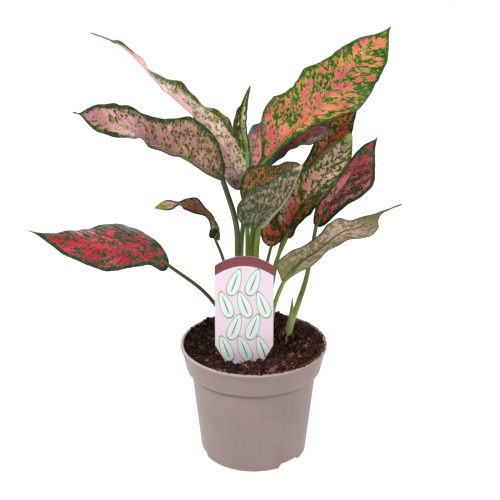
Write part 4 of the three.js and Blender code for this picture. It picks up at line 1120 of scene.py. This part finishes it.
# The blade. A point lies at spine + side v w cos(angle) + up |v| w sin(angle), with w the half
# width and angle the fold. Then along its normal: the margin's waves, the quilting between the
# side veins (x' = s - |y| (0.75 + 0.35 |v|), with s along the midrib and y across) and the channel.
def bladeShell(leaf, number):
    m = leafMake
    fineT = np.linspace(0, 1, 300)
    pieces = np.linalg.norm(np.diff(along(leaf["spine"], fineT), axis=0), axis=1)
    travelled = np.concatenate([[0], np.cumsum(pieces)])
    tRow = crowded(np.linspace(0, 1, int(m["rows"] + m["rowsPerLength"] * travelled[-1])), m["rowCrowding"])
    vColumn = crowded(np.linspace(-1, 1, 2 * m["halfColumns"] + 1), m["columnCrowding"])
    t, v = np.meshgrid(tRow, vColumn, indexing="ij")
    share = np.abs(v)
    s = np.interp(t, fineT, travelled)
    station = np.arccos(np.clip(1 - 2 * t, -1, 1)) / np.pi
    width, rise = (np.where(v < 0, along(leaf[left], x), along(leaf[right], x))
                   for left, right, x in (("left", "right", station), ("riseLeft", "riseRight", t)))
    uneven = m["unevenness"] * lattice(s, v, m["unevenSize"], number) * (s > 3)
    width = np.maximum(width * (1 + uneven), m["leastHalfWidth"])
    y = v * width
    angle = np.radians(rise + leaf.get("curl", 0) * share)
    c, d = np.cos(angle)[..., None], np.sin(angle)[..., None]
    high, count = leaf["wave"]
    inside = np.sin(np.pi * t)
    phase = np.where(v > 0, 0.0, 2.0)
    wave = high * v**2 * np.sin(2 * np.pi * count * t + phase) * inside
    ripple = np.sin(2 * np.pi * m["rippleCount"] * count * t + 1.3 + phase)
    ripple = m["ripple"] * high * share**3 * ripple * inside
    sweep, bend = m["veinSweep"]
    veinAlong = s - np.abs(y) * (sweep + bend * share)
    ridge = np.abs(np.sin(np.pi * veinAlong / commonLook["veinSpacing"])) ** 0.7 - 0.55
    quilt = m["quilt"] * ridge * smooth(share, 0.02, 0.16) * (1 - smooth(share, 0.75, 1)) * inside**0.5
    quilt = quilt * np.clip(width / 12, 0.2, 1)
    channel = m["channel"] * np.exp(-((y / m["channelHalf"]) ** 2)) * np.sqrt(1 - t) * smooth(t, 0, 0.04)
    swell = m["swell"] * lattice(s, y, m["swellSize"], number + 40) * share * inside
    up, side = (a[:, None, :] for a in bladeFrame(leaf, tRow)[1:])
    normal = unit(up * c - side * np.clip(v / 0.06, -1, 1)[..., None] * d)
    fold = (np.hypot(share, m["foldRound"]) - m["foldRound"]) * width
    centre = along(leaf["spine"], tRow)[:, None, :] + side * y[..., None] * c + up * fold[..., None] * d
    centre = centre + up * wave[..., None] + normal * (ripple + quilt - channel + swell)[..., None]
    thick = (m["edge"] + (m["middle"] - m["edge"]) * (1 - share**4))[..., None]
    points = np.concatenate([(centre + normal * half).reshape(-1, 3) for half in (thick / 2, -thick / 2)])
    veinMap = np.tile(point(veinAlong, y, s).reshape(-1, 3) * mm, (2, 1))
    leafAt = np.concatenate([point(t, share, below).reshape(-1, 3) for below in (0.0, 1.0)])
    return points, sheetQuads(*t.shape), veinMap, leafAt


# A tube of rings round a line of centres. guide points to the tube's upper side, where a groove
# runs; its radius there is less by groove. Both ends are closed.
def tubeShell(centres, radii, guide, groove, where):
    angle = turns(leafMake["tubeSides"])
    tangent = unit(np.gradient(centres, axis=0))
    first = squareTo(tangent, guide)
    second = np.cross(tangent, first)
    off = np.minimum(angle, 2 * np.pi - angle) / leafMake["grooveHalf"]
    radius = radii[:, None] * (1 - groove[:, None] * np.exp(-(off**2)))
    ring = polar(radius, angle, 0.0)
    points = centres[:, None] + first[:, None] * ring[..., :1] + second[:, None] * ring[..., 1:2]
    points = np.concatenate([points.reshape(-1, 3), centres[:1], centres[-1:]])
    place = point(where[:, None], np.cos(angle), np.sin(angle)).reshape(-1, 3)
    place = np.concatenate([place, [(where[0], 0, 0), (where[-1], 0, 0)]])
    return points, skinFaces(len(centres), len(angle)), place


# The stalk from the peat to the blade, and on under the blade as the midrib
def stalkShell(leaf):
    m = leafMake
    s = np.linspace(0, 1, m["tubeRings"])
    path = along(leaf["stalk"] + leaf["spine"][:1], s)
    low, high = leaf["thick"]
    radii = (low + (high - low) * s) * (1 + 0.22 * (1 - smooth(s, 0.15, 0.45)))
    t = m["ribReach"] * np.arange(1, m["ribRings"] + 1) / m["ribRings"]
    up = bladeFrame(leaf, t)[1]
    ribRadius = high * (0.5 + 0.5 * (1 - smooth(t, 0, 0.25))) * (1 - t) ** 1.2 + m["ribTip"]
    deep = (0.95 * ribRadius + 0.6 * m["channel"] * np.sqrt(1 - t)) * np.minimum(1, t / 0.1)
    rib = along(leaf["spine"], t) - up * deep[:, None]
    face = unit(np.array(leaf["face"][0], float))
    guide = np.concatenate([np.broadcast_to(face, path.shape), up])
    groove = np.concatenate([0.3 * smooth(s, 0.2, 0.5), np.full(len(t), 0.15)])
    return tubeShell(np.concatenate([path, rib]), np.concatenate([radii, ribRadius]), guide, groove,
                     np.concatenate([s, 1 + t]))


# The bract: a short sheath beside the shoot, which narrows to a point
def bractShell(leaf):
    s = np.linspace(0, 1, leafMake["bractRings"])
    foot, tip = np.array(leaf["bract"])
    path = foot + (tip - foot) * s[:, None] + point(0.5 * np.sin(np.pi * s), 0.0, 0.0)
    guide = np.broadcast_to(np.array(leafMake["bractFace"]), path.shape)
    radii = np.interp(s, *leafMake["bractRadii"])
    return tubeShell(path, radii, guide, np.full(len(s), 0.25), 0.3 + 0.35 * s)


def makeLeaf(name, leaf, number):
    look = {**commonLook, **leaf["look"]}
    points, quads, veinMap, leafAt = bladeShell(leaf, number)
    tubeFaces = []
    for tube in [stalkShell, bractShell] if "bract" in leaf else [stalkShell]:
        tubePoints, faces, place = tube(leaf)
        tubeFaces += [part + len(points) for part in faces]
        points = np.concatenate([points, tubePoints])
        leafAt = np.concatenate([leafAt, place])
    veinMap = np.pad(veinMap, ((0, len(points) - len(veinMap)), (0, 0)))
    title = "".join(word.capitalize() for word in name.split("_"))
    materials = [leafMaterial("waxy" + title, look, number),
                 stalkMaterial("satin" + title + "Stalk", look, number)]
    made = buildMesh("fine" + title, points, [[quads], tubeFaces], materials,
                     {"veinMap": veinMap, "leafAt": leafAt}, sharpAngle=60)
    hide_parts(name)


for leafNumber, (leafName, leafTable) in enumerate(leaves.items()):
    makeLeaf(leafName, leafTable, leafNumber + 1)
